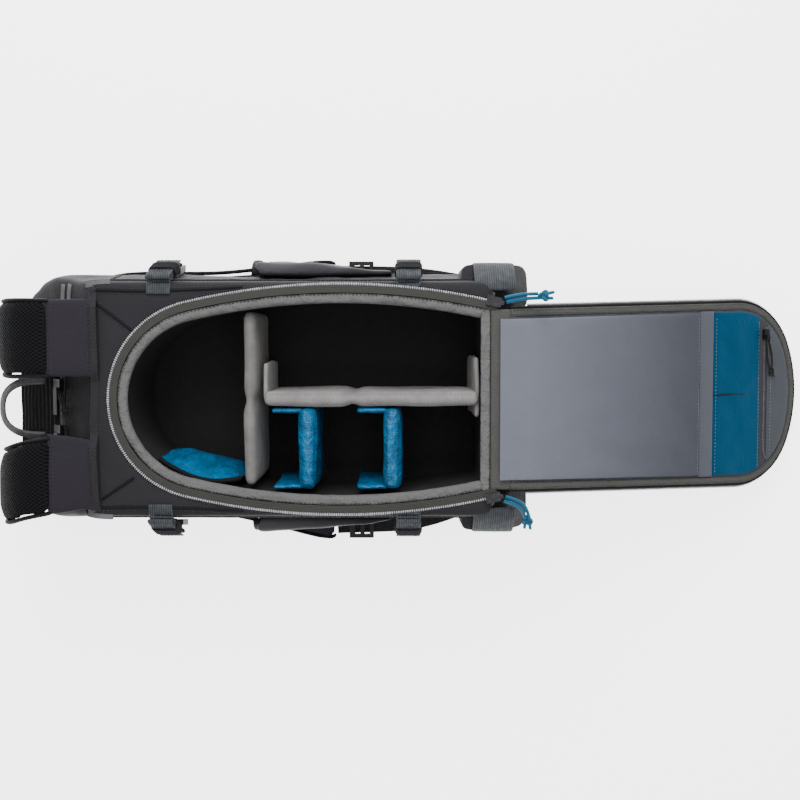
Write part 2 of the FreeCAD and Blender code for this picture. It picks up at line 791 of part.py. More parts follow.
def cord_path(points):
    """Straight runs through the points, joined by tangent arcs as large as the runs allow."""
    corners = [Vector(*p) for p in points]
    edges, start, radii = [], corners[0], []
    for i in range(1, len(corners) - 1):
        back, here, ahead = corners[i - 1], corners[i], corners[i + 1]
        into, away = (here - back), (ahead - here)
        turn = into.getAngle(away)
        cut = 0.45 * min(into.Length, away.Length)
        radii.append(cut / math.tan(turn / 2))
        into.normalize()
        away.normalize()
        enter, leave = here - into * cut, here + away * cut
        inward = (away - into).normalize()
        depth = radii[-1] * (1 / math.cos(turn / 2) - 1)
        edges.append(Part.LineSegment(start, enter).toShape())
        edges.append(Part.Arc(enter, here + inward * depth, leave).toShape())
        start = leave
    edges.append(Part.LineSegment(start, corners[-1]).toShape())
    return Part.Wire(edges), radii


def tube(points, diameter):
    """A cord's solid along its route. Reports its length, its radii and its volume's error."""
    path, radii = cord_path(points)
    heading = Vector(*points[1]) - Vector(*points[0])
    ring = Part.Wire(Part.makeCircle(diameter / 2, Vector(*points[0]), heading))
    solid = path.makePipeShell([ring], True, False, 2)
    expected = math.pi * diameter**2 / 4 * path.Length
    print(
        f"cord {path.Length:.1f} mm, radii {[round(r, 1) for r in radii]},"
        f" volume ratio {solid.Volume / expected:.4f}"
    )
    return solid


MAIN_PULL_STRANDS = {
    "left": (
        ((226.5, 90.5, 173.4), (237, 92.9, 174.4), (247, 94, 175.8), (257, 94.4, 177)),
        ((224.8, 94.6, 173.4), (235, 96.8, 174.4), (245, 98, 175.8), (255.4, 98.2, 177)),
    ),
    "right": (
        ((226.5, -90.5, 173.4), (237.4, -93.4, 173.4), (246.2, -100, 172.6), (249.2, -111, 168.2)),
        ((224.8, -94.6, 173.4), (234.6, -97, 173.4), (242.2, -102.6, 172.6), (245.4, -111.6, 168.4)),
    ),
}
MAIN_KNOTS = {"left": (262, 96.4, 177.6), "right": (247.8, -115.2, 165.4)}
KNOT_RUNS = {"left": (1, 0.05, 0), "right": (0.05, -1, -0.4)}
LID_STRANDS = (
    ((315.4, 54.6, 6.2), (317.8, 45.8, 5.4), (318.2, 35.6, 4.6), (321, 26, 5.6)),
    ((318.6, 54.6, 6.2), (322.6, 46.4, 5.2), (325.2, 36.4, 4.6), (324.4, 26, 5.6)),
)
LID_KNOT = (322.8, 22.4, 6.2)


def make_cord(strands, diameter, label, place=None):
    made = doc.addObject("Part::Feature", "Cord")
    made.Shape = Part.makeCompound([tube(points, diameter) for points in strands])
    keep(made, label, Placement() if place is None else place)


def make_knot(centre, along, diameter, label, place=None):
    """An overhand knot with the two cut ends of the cord below it."""
    knot = doc.addObject("Part::Feature", "Knot")
    middle, way = Vector(*centre), Vector(*along).normalize()
    across = way.cross(Vector(0, 0, 1)).normalize()
    ball, apart, tail = diameter * 1.25, diameter * 0.52, diameter * 3
    solid = Part.makeSphere(ball, middle)
    for side in (-1, 1):
        foot = middle + across * side * apart
        solid = solid.fuse(Part.makeCylinder(diameter / 2, tail, foot, way))
    knot.Shape = solid.removeSplitter()
    keep(knot, label, Placement() if place is None else place)


def make_main_pulls():
    cord = sheet.get("cord")
    for side, strands in MAIN_PULL_STRANDS.items():
        make_cord(strands, cord, f"main_pull_cord_{side}")
        make_knot(MAIN_KNOTS[side], KNOT_RUNS[side], cord, f"main_pull_knot_{side}")


# ---- lid ---------------------------------------------------------------------------------


def on_lid():
    """The lid's own frame in the open bag: x along the lid, z out of its inner face."""
    return at(HINGE, 0, size("hinge_level"), Vector(0, 1, 0), LID_DROP_DEG)


def lid_piece(inset, x0, x1, low, high):
    """The stretch of the lid's outline between two distances from the hinge."""
    whole = lid_slab(inset, low, high, size("lid_start"))
    return boolean("Common", whole, lid_stretch(x0, x1, as_size(low) - 5, as_size(high) + 5))


def lid_stretch(x0, x1, low, high):
    half = 120
    return block(x0, x1, -half, half, low, high)


def make_lid():
    start, thick = size("lid_start"), size("lid_thick")
    cloth, gusset, open_end = 2, 8, start - 20
    cover = lid_slab(0, -thick, -1, start)
    room = lid_slab(cloth, -thick + cloth, 3, start + cloth)
    keep(boolean("Cut", cover, room), "lid_cover", on_lid())
    keep(lid_slab(cloth, -thick + cloth, -1, start + cloth), "lid_foam", on_lid())
    keep(lid_slab(0, -1, 0, start, gusset, open_end), "lid_gusset", on_lid())
    ring = lid_slab(-3.5, -8.5, -6.5, start, 0, open_end)
    first_tooth, last_tooth = 30, 380
    keep(boolean("Common", ring, lid_stretch(first_tooth, last_tooth, -12, 0)),
         "lid_zip_teeth", on_lid())
    make_lid_face(start, gusset)
    make_lid_pull()
    make_back_pads(thick)


def make_lid_face(start, gusset):
    """What is sewn to the lid's inner face, from the hinge to the bag's nose end."""
    inset = size("lid_panel_inset")
    seam, welt = size("lid_seam"), size("lid_welt")
    pocket, zip_end = size("lid_pocket"), size("lid_zip")
    panel_start, panel_end, lining_end = 18, 350, 365
    keep(lid_piece(gusset, start, lining_end, -1, 0), "lid_lining", on_lid())
    keep(lid_piece(inset, panel_start, seam - GAP, 0, 5), "lid_padded_panel", on_lid())
    keep(lid_piece(inset, seam, welt, 0, 4), "lid_welt", on_lid())
    keep(lid_piece(inset, welt + GAP, pocket - GAP, 0, 3), "lid_pocket", on_lid())
    keep(lid_piece(inset, pocket, zip_end, 0, 2), "lid_pocket_zip", on_lid())
    keep(lid_piece(inset, zip_end + GAP, panel_end, 0, 3), "lid_end_panel", on_lid())


def make_lid_pull():
    """The lid pocket's slider and its corded pull."""
    middle = (size("lid_pocket") + size("lid_zip")) / 2
    shell = block(middle - 3, middle + 3, 56, 66, 2.3, 6)
    keep(boolean("Fuse", shell, block(middle - 1.5, middle + 2.5, 55, 60, 6, 8)),
         "lid_pocket_slider", on_lid())
    make_cord(LID_STRANDS, sheet.get("thin_cord"), "lid_pull_cord", on_lid())
    make_knot(LID_KNOT, (0.1, -1, 0), sheet.get("thin_cord"), "lid_pull_knot", on_lid())


def make_back_pads(thick):
    """The two long pads on the lid's outer face, which rest against the wearer's back."""
    pads = []
    start, end, inner, outer, deep, taper = 50, 270, 12, 72, 9, 8
    for sign in (1, -1):
        near, far = inner * sign, outer * sign
        plan = [(start, near), (end, near), (end - taper, far), (start + taper, far)]
        pads.append(plate(plan[::sign], -thick - deep, -thick, corner=8))
    keep(group(pads), "back_pads", on_lid())


# ---- build, test and write -----------------------------------------------------------------


def write_parts():
    doc.recompute()
    for thing in doc.Objects:
        if "Invalid" in thing.State or "Error" in thing.State:
            raise RuntimeError(f"{thing.Label} ({thing.Name}) did not build: {thing.State}")
    os.makedirs("parts", exist_ok=True)
    for thing in parts:
        shape = thing.Shape
        if shape.isNull() or not shape.isValid() or not shape.Solids:
            raise RuntimeError(f"{thing.Label} has no valid solid")
        shape.exportStep(f"parts/{thing.Label}.step")
        box = shape.BoundBox
        print(
            f"{thing.Label:28s} solids {len(shape.Solids)}  {shape.Volume / 1000:9.2f} cm3 "
            f" x {box.XMin:7.1f} {box.XMax:7.1f}  y {box.YMin:7.1f} {box.YMax:7.1f}"
            f"  z {box.ZMin:6.1f} {box.ZMax:6.1f}"
        )
    print(len(parts), "sub-parts")


make_body()
make_lining()
make_yoke()
make_front_pocket()
make_top_pocket()
make_handle()
make_straps()
make_strap_webbing()
make_side_pockets()
make_compression()
make_hip_webbing()
make_dividers()
make_wall_pocket()
make_main_sliders()
make_main_pulls()
make_lid()
write_parts()
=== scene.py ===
"""Looks of the camera backpack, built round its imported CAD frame. Metres.

The bag lies on its front with the harness side up. Its rear lid is hinged at the foot end (+X)
and is folded open down to the floor. +Y is the wearer's left.
"""
import json
import math

import bmesh
import bpy
import numpy as np
from mathutils import Matrix, Vector, noise
from mathutils.bvhtree import BVHTree

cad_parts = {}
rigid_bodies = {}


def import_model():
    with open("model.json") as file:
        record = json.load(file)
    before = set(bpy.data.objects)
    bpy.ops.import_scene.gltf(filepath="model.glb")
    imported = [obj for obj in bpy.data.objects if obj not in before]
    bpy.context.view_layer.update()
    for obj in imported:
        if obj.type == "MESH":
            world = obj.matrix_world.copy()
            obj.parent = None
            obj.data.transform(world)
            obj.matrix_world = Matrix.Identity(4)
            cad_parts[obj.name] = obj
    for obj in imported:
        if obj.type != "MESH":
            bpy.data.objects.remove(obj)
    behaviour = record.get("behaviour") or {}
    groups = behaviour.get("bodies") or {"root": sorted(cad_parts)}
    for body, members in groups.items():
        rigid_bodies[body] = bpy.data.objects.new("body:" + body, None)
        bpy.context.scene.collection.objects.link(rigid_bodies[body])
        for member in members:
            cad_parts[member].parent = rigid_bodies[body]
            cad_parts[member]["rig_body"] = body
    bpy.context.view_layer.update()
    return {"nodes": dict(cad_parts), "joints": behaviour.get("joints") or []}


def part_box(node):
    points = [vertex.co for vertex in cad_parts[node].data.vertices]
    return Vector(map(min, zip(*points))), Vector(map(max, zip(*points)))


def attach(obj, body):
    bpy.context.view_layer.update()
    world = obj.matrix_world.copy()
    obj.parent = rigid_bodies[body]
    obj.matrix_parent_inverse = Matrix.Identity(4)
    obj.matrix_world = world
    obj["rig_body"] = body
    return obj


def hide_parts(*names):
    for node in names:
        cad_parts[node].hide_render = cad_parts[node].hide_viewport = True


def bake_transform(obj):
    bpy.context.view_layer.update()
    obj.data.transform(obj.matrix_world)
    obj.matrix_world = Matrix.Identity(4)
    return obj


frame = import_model()
noise.seed_set(7)  # without it, vector noise differs from run to run

X, Y, Z = Vector((1, 0, 0)), Vector((0, 1, 0)), Vector((0, 0, 1))
SIDES = (("left", 1), ("right", -1))

# ---- driving sizes, from the frame -----------------------------------------------------------

SHELL_LOW, SHELL_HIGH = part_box("outer_shell")
RIM = SHELL_HIGH.z
BASE = SHELL_LOW.z
HALF_LONG = SHELL_HIGH.x
HALF_WIDE = SHELL_HIGH.y
PLAN_CORNER = 0.060

# the opening: a small arc round the nose at the head end, and a shallow arc along each side
TEETH_LOW, TEETH_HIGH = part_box("opening_zip_teeth")
HALF_TEETH = 0.0014
HINGE_X = TEETH_HIGH.x
MOUTH_END = HINGE_X - 0.011
NOSE_RADIUS = 0.093
NOSE_X = TEETH_LOW.x + HALF_TEETH + NOSE_RADIUS
SIDE_RADIUS = 0.630
SIDE_X = 0.073
SIDE_DROP = math.sqrt((SIDE_RADIUS - NOSE_RADIUS) ** 2 - (SIDE_X - NOSE_X) ** 2)
LINING_INSET = 0.0135
BAND_END, TUB_END, SEWN_END = 0.2075, 0.2065, 0.206  # where they cross over at the foot
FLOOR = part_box("floor_padding")[1].z

# the bag's outer form: pairs of a level and how far the head, foot or sides stand out there
HEAD_FORM = ((0.028, -0.222), (0.058, -0.252), (0.085, -0.252), (0.170, -0.156))
FOOT_FORM = ((0.028, 0.227), (0.053, 0.252), (0.120, 0.252), (0.153, 0.215), (0.170, 0.215))
SIDE_FORM = ((0.028, 0.113), (0.095, 0.121), (0.170, 0.1095))

# the lid's own frame: x along the lid from its hinge, z out of its inner face
LID_JOINT = next(j for j in frame["joints"] if j["name"] == "lid_hinge")
LID_DROP = math.radians(LID_JOINT["range_deg"][1] - 180)
LID = Matrix.Translation(LID_JOINT["pos_m"]) @ Matrix.Rotation(LID_DROP, 4, "Y")
LID_START = 0.008

# its outline: straight sides from the hinge, an arc at each corner and a flatter one at the end
LID_HINGE_HALF = 0.085
LID_CORNER_Y = 0.024
LID_CORNER_RADIUS = 0.070
LID_END_X = 0.230
LID_END_RADIUS = 0.130
LID_THICK = 0.016

# where the inner face's panels end, as distances from the hinge
LID_SEAM, LID_WELT, LID_POCKET, LID_ZIP, LID_PANEL_END = 0.231, 0.248, 0.311, 0.321, 0.3505
LID_PANEL_INSET = 0.012


# ---- mesh helpers ----------------------------------------------------------------------------

# sizes along, out and up of a stitch and of the teeth of the large and fine zips, and their pitches
STITCH, STITCH_PITCH = (0.0013, 0.00042, 0.0003), 0.0036
TOOTH, TOOTH_PITCH = (0.00088, 0.0015, 0.0010), 0.0021
FINE_TOOTH, FINE_TOOTH_PITCH = (0.0008, 0.0014, 0.0008), 0.0019
FLOOR_GAP = 0.0003
ABOVE, BESIDE = 0.3, 0.4  # where rays start, clear of the bag


def noisy(place, scale, size, seed=0.0):
    """Smooth noise of about plus or minus size, that changes over about 1 / scale metres."""
    return noise.noise(Vector(place) * scale + Vector((seed, 1.7 * seed, -seed))) * size


def wavy(scale, size, seed):
    """A change of shape that shifts points every way by up to about size."""

    def vary(p):
        shift = noise.noise_vector(p * scale + Vector((seed, 0, seed)))
        return p + Vector((shift.x, shift.y, shift.z)) * size
    return vary


def uneven(scale, size, seed):
    """A change of shape that raises and lowers points by up to about size."""

    def vary(p):
        return p + Z * noisy(p, scale, size, seed)
    return vary


def piece_from(name, points, faces, material, body="bag", refine=0):
    """A new mesh piece with smooth shading, riding on a body."""
    mesh = bpy.data.meshes.new(name)
    mesh.from_pydata([tuple(p) for p in points], [], faces)
    shape = bmesh.new()
    shape.from_mesh(mesh)
    bmesh.ops.remove_doubles(shape, verts=shape.verts, dist=1e-6)
    bmesh.ops.recalc_face_normals(shape, faces=shape.faces)
    shape.to_mesh(mesh)
    shape.free()
    mesh.shade_smooth()
    mesh.materials.append(material)
    piece = bpy.data.objects.new(name, mesh)
    bpy.context.scene.collection.objects.link(piece)
    if refine:
        piece.modifiers.new("Refine", "SUBSURF").levels = refine
        piece.modifiers["Refine"].render_levels = refine
    if body:
        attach(piece, body)
    return piece


def settle(piece, slot, *nodes):
    """Hides the CAD nodes whose place the piece takes; the piece and the slot are not used."""
    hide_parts(*nodes)


def sweep(name, rail, section, material, body="bag", loop=False, refine=0, vary=None):
    """A solid whose closed section of (out, up) points runs along a rail of (place, out, up).

    section may be a list of closed sections, one a station, and vary moves each finished point."""
    points, faces = [], []
    rings = section if isinstance(section[0], list) else [section] * len(rail)
    for (place, out, up), ring in zip(rail, rings):
        for across, lift in ring:
            point = place + out * across + up * lift
            points.append(vary(point) if vary else point)
    size, count = len(rings[0]), len(rail)
    for i in range(count if loop else count - 1):
        here, ahead = i * size, (i + 1) % count * size
        for k in range(size):
            after = (k + 1) % size
            faces.append((here + k, here + after, ahead + after, ahead + k))
    if not loop:
        faces.append(tuple(range(size)))
        faces.append(tuple(range((count - 1) * size, count * size)))
    return piece_from(name, points, faces, material, body, refine)


def at_marks(points, marks_for):
    """Points along a line, at the distances that marks_for gives for its length."""
    rows = np.array([tuple(p) for p in points])
    steps = np.linalg.norm(np.diff(rows, axis=0), axis=1)
    along = np.concatenate([[0], np.cumsum(steps)])
    return [Vector([np.interp(m, along, rows[:, k]) for k in range(3)]) for m in marks_for(along[-1])]


def shared_out(points, count):
    """This many points, evenly spaced along an open line of points and back to its start."""
    return at_marks([*points, points[0]], lambda length: length * np.arange(count) / count)


def evenly(points, pitch):
    """Points at an even pitch along a line of points."""
    return at_marks(points, lambda length: np.arange(0, length, pitch))


def ring_faces(count, size):
    """Faces between closed rings of the same size, with a ladder of quads across the last one."""
    faces = []
    for i in range(count - 1):
        for k in range(size):
            after = (k + 1) % size
            here, ahead = i * size, (i + 1) * size
            faces.append((here + k, here + after, ahead + after, ahead + k))
    last = (count - 1) * size
    for k in range(size // 2):
        far = (size - k) % size
        rung = [k, k + 1, size - k - 1, far]
        kept = [last + v for i, v in enumerate(rung) if v not in rung[:i]]
        if len(kept) > 2:
            faces.append(tuple(kept))
    return faces


def grid_faces(rows, cols, first=0):
    """Quads of a grid of rows by cols points, whose first point has this number."""
    corners = [first + i * cols + k for i in range(rows - 1) for k in range(cols - 1)]
    return [(a, a + 1, a + cols + 1, a + cols) for a in corners]


def closed_grid_faces(rows, cols):
    """Faces of two such grids, one the upper skin and one the lower, joined round their edges."""
    size = rows * cols
    faces = grid_faces(rows, cols) + grid_faces(rows, cols, size)
    for k in range(cols - 1):
        for a in (k, (rows - 1) * cols + k):
            faces.append((a, a + 1, a + 1 + size, a + size))
    for i in range(rows - 1):
        for a in (i * cols, i * cols + cols - 1):
            faces.append((a, a + cols, a + cols + size, a + size))
    return faces


def circle(radius, count=10, squash=1.0):
    """A round section, or an oval one where squash isn't 1."""
    turns = [2 * math.pi * i / count for i in range(count)]
    return [(radius * math.cos(a), radius * squash * math.sin(a)) for a in turns]


def flat_section(wide, thick, ribs=0, depth=0.0):
    """A flat band's section, with rounded edges and ribs along its faces."""
    steps = max(6, ribs * 4)
    loop = []
    for face in (1, -1):
        for i in range(steps + 1):
            share = -1 + 2 * i / steps
            edge = (1 - abs(share) ** 10) ** 0.5
            groove = depth * (0.5 - 0.5 * math.cos(math.pi * ribs * (share + 1))) if ribs else 0
            loop.append((share * face * wide / 2, face * (thick / 2 - depth + groove) * edge))
    return loop


def smooth_path(points, step):
    """Points about step apart on the Catmull-Rom curve through the points (any width)."""
    rows = [np.array(p, float) for p in points]
    rows = [2 * rows[0] - rows[1]] + rows + [2 * rows[-1] - rows[-2]]
    made = []
    for a, b, c, d in zip(rows, rows[1:], rows[2:], rows[3:]):
        pieces = max(1, round(float(np.linalg.norm((c - b)[:3])) / step))
        for i in range(pieces):
            t = i / pieces
            made.append(
                0.5 * (2 * b + (c - a) * t + (2 * a - 5 * b + 4 * c - d) * t**2
                       + (3 * b - a - 3 * c + d) * t**3)
            )
    made.append(rows[-2])
    return made


def rail_along(points, up=Z):
    """Stations along a line of points: out is to the right of the run, up is square to it."""
    points = [Vector(p) for p in points]
    rail = []
    for i, place in enumerate(points):
        run = points[min(i + 1, len(points) - 1)] - points[max(i - 1, 0)]
        facing = Vector(up(place)) if callable(up) else up
        out = run.cross(facing).normalized()
        rail.append((place, out, out.cross(run).normalized()))
    return rail


# a rounded bead of radius 1, as points and faces
BEAD = bmesh.new()
bmesh.ops.create_icosphere(BEAD, subdivisions=1, radius=1.0)
BEAD_POINTS = [v.co.copy() for v in BEAD.verts]
BEAD_FACES = [[v.index for v in f.verts] for f in BEAD.faces]
BEAD.free()


def beads(name, rail, sizes, material, body="bag"):
    """A small rounded bead at each station of a rail, of a size along, out and up."""
    points, faces = [], []
    for place, out, up in rail:
        along = up.cross(out)
        first = len(points)
        for p in BEAD_POINTS:
            points.append(place + along * p.x * sizes[0] + out * p.y * sizes[1] + up * p.z * sizes[2])
        faces.extend([first + k for k in f] for f in BEAD_FACES)
    return piece_from(name, points, faces, material, body)


def rail_across(line, out, loop=False):
    """Stations along a line whose out stays the same, with up square to it and to the run."""
    last = len(line) - 1
    rail = []
    for i, place in enumerate(line):
        ahead = line[(i + 1) % (last + 1)] if loop else line[min(i + 1, last)]
        run = (ahead - line[i - 1 if loop else max(i - 1, 0)]).normalized()
        rail.append((place, out.copy(), out.cross(run).normalized()))
    return rail


def stitches(name, lines, material, up=Z, body="bag"):
    """Rows of stitches along lines of points."""
    rail = []
    for line in lines:
        rail += rail_along(evenly(line, STITCH_PITCH), up)
    beads(name, rail, STITCH, material, body)


def soft_box(name, low, high, material, body="bag", cell=0.006, edge=0.004, bulge=(0, 0, 0),
             vary=None, refine=1):
    """A closed cushion: a gridded box with rounded edges whose faces bulge outwards."""
    low, high = Vector(low), Vector(high)
    counts = [max(2, round((high[k] - low[k]) / cell)) for k in range(3)]
    index, points, faces = {}, [], []

    def vertex(key):
        if key not in index:
            index[key] = len(points)
            share = [key[k] / counts[k] for k in range(3)]
            p = Vector([low[k] + (high[k] - low[k]) * share[k] for k in range(3)])
            core = Vector([min(max(p[k], low[k] + edge), high[k] - edge) for k in range(3)])
            if (p - core).length > 1e-9:
                p = core + (p - core).normalized() * edge
            for k in range(3):
                if key[k] in (0, counts[k]):
                    others = [4 * share[m] * (1 - share[m]) for m in range(3) if m != k]
                    p[k] += (1 if key[k] else -1) * bulge[k] * math.sqrt(others[0] * others[1])
            points.append(vary(p) if vary else p)
        return index[key]

    for k in range(3):
        m, n = [a for a in range(3) if a != k]
        for side in (0, counts[k]):
            for i in range(counts[m]):
                for j in range(counts[n]):
                    corners = []
                    for di, dj in ((0, 0), (1, 0), (1, 1), (0, 1)):
                        key = [0, 0, 0]
                        key[k], key[m], key[n] = side, i + di, j + dj
                        corners.append(vertex(tuple(key)))
                    faces.append(corners)
    return piece_from(name, points, faces, material, body, refine)


def inflate(piece, cap, pressure=4.0, voxel=0.005):
    """Remeshes a padded piece and fills it by cloth simulation; no point moves past cap.

    Where it lies on the floor it stays flat."""
    scene = bpy.context.scene
    material, body = piece.data.materials[0], piece["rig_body"]
    piece.modifiers.clear()
    remesh = piece.modifiers.new("Remesh", "REMESH")
    remesh.mode = "VOXEL"
    remesh.voxel_size = voxel
    piece.data = mesh_now(piece)
    piece.modifiers.clear()
    before = [v.co.copy() for v in piece.data.vertices]
    cloth = piece.modifiers.new("Cloth", "CLOTH")
    cloth.settings.use_pressure = True
    cloth.settings.uniform_pressure_force = pressure
    cloth.settings.effector_weights.gravity = 0
    cloth.point_cache.frame_start, cloth.point_cache.frame_end = 1, 20
    for step in range(1, 21):
        scene.frame_set(step)
    piece.data = mesh_now(piece)
    piece.modifiers.clear()
    scene.frame_set(1)
    for vertex, rest in zip(piece.data.vertices, before):
        move = vertex.co - rest
        if move.length > cap:
            vertex.co = rest + move.normalized() * cap
        vertex.co.z = max(vertex.co.z, FLOOR_GAP)
    piece.data.materials.clear()
    piece.data.materials.append(material)
    piece.data.shade_smooth()
    piece.modifiers.new("Refine", "SUBSURF").levels = 1
    piece.modifiers["Refine"].render_levels = 1
    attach(piece, body)
    return piece


def mesh_now(piece):
    """The piece's mesh with its modifiers in force, as a mesh of its own."""
    seen = piece.evaluated_get(bpy.context.evaluated_depsgraph_get())
    return bpy.data.meshes.new_from_object(seen)


def surface_of(piece):
    """The piece's surface as a tree that rays can be cast at."""
    return BVHTree.FromObject(piece, bpy.context.evaluated_depsgraph_get())


def press(surface, start, direction, lift=0.0):
    """Where a ray from start first meets the surface, moved back out by lift. None if it misses."""
    place = surface.ray_cast(Vector(start), Vector(direction))[0]
    return place and place - Vector(direction).normalized() * lift


def press_all(surface, starts, direction, lift=0.0):
    """The places where rays from these starts meet the surface; those that miss are left out."""
    found = [press(surface, start, direction, lift) for start in starts]
    return [place for place in found if place is not None]


# ---- outlines --------------------------------------------------------------------------------


def arc_stations(cx, cy, radius, start, end, step):
    """Places and outward directions on an arc between two angles."""
    count = max(2, round(abs(end - start) * abs(radius) / step))
    made = []
    for i in range(count + 1):
        turn = start + (end - start) * i / count
        out = Vector((math.cos(turn), math.sin(turn), 0))
        made.append((Vector((cx, cy, 0)) + out * radius, out, Z.copy()))
    return made


def opening_rail(inset, level, end, step):
    """The opening's outline moved in by inset, from the hinge's left end round the nose."""
    side, nose = SIDE_RADIUS - inset, NOSE_RADIUS - inset
    touch = math.atan2(SIDE_DROP, NOSE_X - SIDE_X)
    stop = math.acos((end - SIDE_X) / side)
    rail = arc_stations(SIDE_X, -SIDE_DROP, side, stop, touch, step)
    rail += arc_stations(NOSE_X, 0, nose, touch, 2 * math.pi - touch, step)[1:]
    rail += arc_stations(SIDE_X, SIDE_DROP, side, -touch, -stop, step)[1:]
    return [(place + Z * level, out, up) for place, out, up in rail]


def lid_rail(inset, level, start, step):
    """The lid's outline moved in by inset, in the lid's own frame, round from left to right."""
    corner, end = LID_CORNER_RADIUS - inset, LID_END_RADIUS - inset
    half = LID_HINGE_HALF - inset
    between = end - corner
    corner_x = LID_END_X + math.sqrt(between**2 - LID_CORNER_Y**2)
    touch = math.asin(LID_CORNER_Y / between)
    away = math.hypot(corner_x - LID_START, LID_CORNER_Y - half)
    lean = math.atan2(half - LID_CORNER_Y, LID_START - corner_x)
    lift = lean - math.acos(corner / away)
    out = Vector((math.cos(lift), math.sin(lift), 0))
    meet = Vector((corner_x, LID_CORNER_Y, 0)) + out * corner
    first = Vector((LID_START, half, 0))
    first += (meet - first) * (start - LID_START) / (meet.x - LID_START)
    count = round((meet - first).length / step)
    left = [(first.lerp(meet, i / count), out, Z.copy()) for i in range(count)]
    rail = left + arc_stations(corner_x, LID_CORNER_Y, corner, lift, touch, step)
    rail += arc_stations(LID_END_X, 0, end, touch, 0, step)[1:]
    mirrored = []
    for place, out, up in reversed(rail[:-1]):
        mirrored.append((Vector((place.x, -place.y, 0)), Vector((out.x, -out.y, 0)), up))
    return [(place + Z * level, out, up) for place, out, up in rail + mirrored]


def in_lid(rail):
    """A rail moved from the lid's frame to the row frame."""
    turn = LID.to_3x3()
    return [(LID @ place, turn @ out, turn @ up) for place, out, up in rail]


def lid_half(x, inset):
    """Half the lid's width at x, moved in by inset."""
    rail = lid_rail(inset, 0, LID_START, 0.004)
    half = rail[: len(rail) // 2 + 1]
    return float(np.interp(x, [p.x for p, _, _ in half], [p.y for p, _, _ in half]))


# ---- finishes --------------------------------------------------------------------------------


def srgb(*values):
    """A display colour of 0 to 255 as linear light."""
    shares = [v / 255 for v in values]
    return tuple(s / 12.92 if s < 0.04045 else ((s + 0.055) / 1.055) ** 2.4 for s in shares)


class Finish:
    """A material being made. Its methods add nodes and return their output sockets."""

    def __init__(self, name, roughness, metallic=0.0, sheen=0.0, gloss=0.06):
        self.material = bpy.data.materials.new(name)
        self.material.use_nodes = True
        self.nodes = self.material.node_tree.nodes
        self.links = self.material.node_tree.links
        self.shader = self.nodes["Principled BSDF"]
        self.set(self.shader, "Roughness", roughness)
        self.set(self.shader, "Metallic", metallic)
        self.set(self.shader, "Sheen Weight", sheen)
        self.set(self.shader, "Specular IOR Level", gloss)
        self.height = None
        self.place = self.make("ShaderNodeTexCoord").outputs["Object"]

    def set(self, node, name, value):
        if isinstance(value, bpy.types.NodeSocket):
            self.links.new(value, node.inputs[name])
        elif isinstance(value, tuple) and len(value) == 3 and len(node.inputs[name].default_value) == 4:
            node.inputs[name].default_value = (*value, 1)
        else:
            node.inputs[name].default_value = value

    def make(self, kind, settings=None, **inputs):
        node = self.nodes.new(kind)
        for name, value in (settings or {}).items():
            setattr(node, name, value)
        for name, value in inputs.items():
            self.set(node, name.replace("_", " "), value)
        return node

    def maths(self, operation, a, b=0.0):
        node = self.make("ShaderNodeMath", {"operation": operation})
        self.set(node, 0, a)
        self.set(node, 1, b)
        return node.outputs[0]

    def noise(self, scale, stretch=(1, 1, 1), detail=3.0, rough=0.5):
        """Noise of 0 to 1, drawn out along an axis by a small stretch value."""
        moved = self.make("ShaderNodeMapping", Vector=self.place, Scale=stretch)
        made = self.make("ShaderNodeTexNoise", Vector=moved.outputs[0], Scale=scale, Detail=detail,
                         Roughness=rough)
        return made.outputs["Fac"]

    def axis(self, weights, pitch):
        """A sine wave along a direction, with this pitch."""
        dot = self.make("ShaderNodeVectorMath", {"operation": "DOT_PRODUCT"})
        self.set(dot, 0, self.place)
        self.set(dot, 1, tuple(w * 2 * math.pi / pitch for w in weights))
        return self.maths("SINE", dot.outputs["Value"])

    def weave(self, pitch):
        """The bumps of a plain weave, on a face that looks any way."""
        total = self.maths("ADD", self.axis((1, 0, 0), pitch), self.axis((0, 1, 0), pitch))
        total = self.maths("ADD", total, self.axis((0, 0, 1), pitch))
        return self.maths("MULTIPLY", total, 0.2)

    def diamonds(self, pitch):
        """The open cells of spacer mesh, on a strap that runs in the XZ plane."""
        one = self.axis((0.7, 1.0, 0.7), pitch)
        other = self.axis((0.7, -1.0, 0.7), pitch)
        holes = self.maths("ABSOLUTE", self.maths("MULTIPLY", one, other))
        return self.maths("SUBTRACT", 1.0, holes)

    def tint(self, share, dark, light):
        node = self.make("ShaderNodeMix", {"data_type": "RGBA"})
        self.links.new(share, node.inputs[0])
        node.inputs[6].default_value = (*dark, 1)
        node.inputs[7].default_value = (*light, 1)
        return node.outputs[2]

    def contrast(self, share, low, high):
        node = self.make("ShaderNodeMapRange")
        self.set(node, "Value", share)
        self.set(node, "From Min", low)
        self.set(node, "From Max", high)
        return node.outputs[0]

    def fade(self, colour, start, end, left):
        """Darkens a colour along the bag, down to the share that is left at the end: painted light that
        falls off along the bag.
        """
        parts = self.make("ShaderNodeSeparateXYZ", Vector=self.place)
        along = self.contrast(parts.outputs["X"], start, end)
        dark = self.make("ShaderNodeMix", {"data_type": "RGBA", "blend_type": "MULTIPLY"})
        self.links.new(along, dark.inputs[0])
        self.set(dark, 6, colour)
        dark.inputs[7].default_value = (left, left, left, 1)
        return dark.outputs[2]

    def raise_by(self, share, distance):
        """Adds a bump of this height over those that are there."""
        node = self.make("ShaderNodeBump", Height=share, Distance=distance)
        node.inputs["Strength"].default_value = 1.0
        if self.height is not None:
            self.links.new(self.height, node.inputs["Normal"])
        self.height = node.outputs[0]

    def done(self, colour):
        self.set(self.shader, "Base Color", colour)
        if self.height is not None:
            self.links.new(self.height, self.shader.inputs["Normal"])
        return self.material


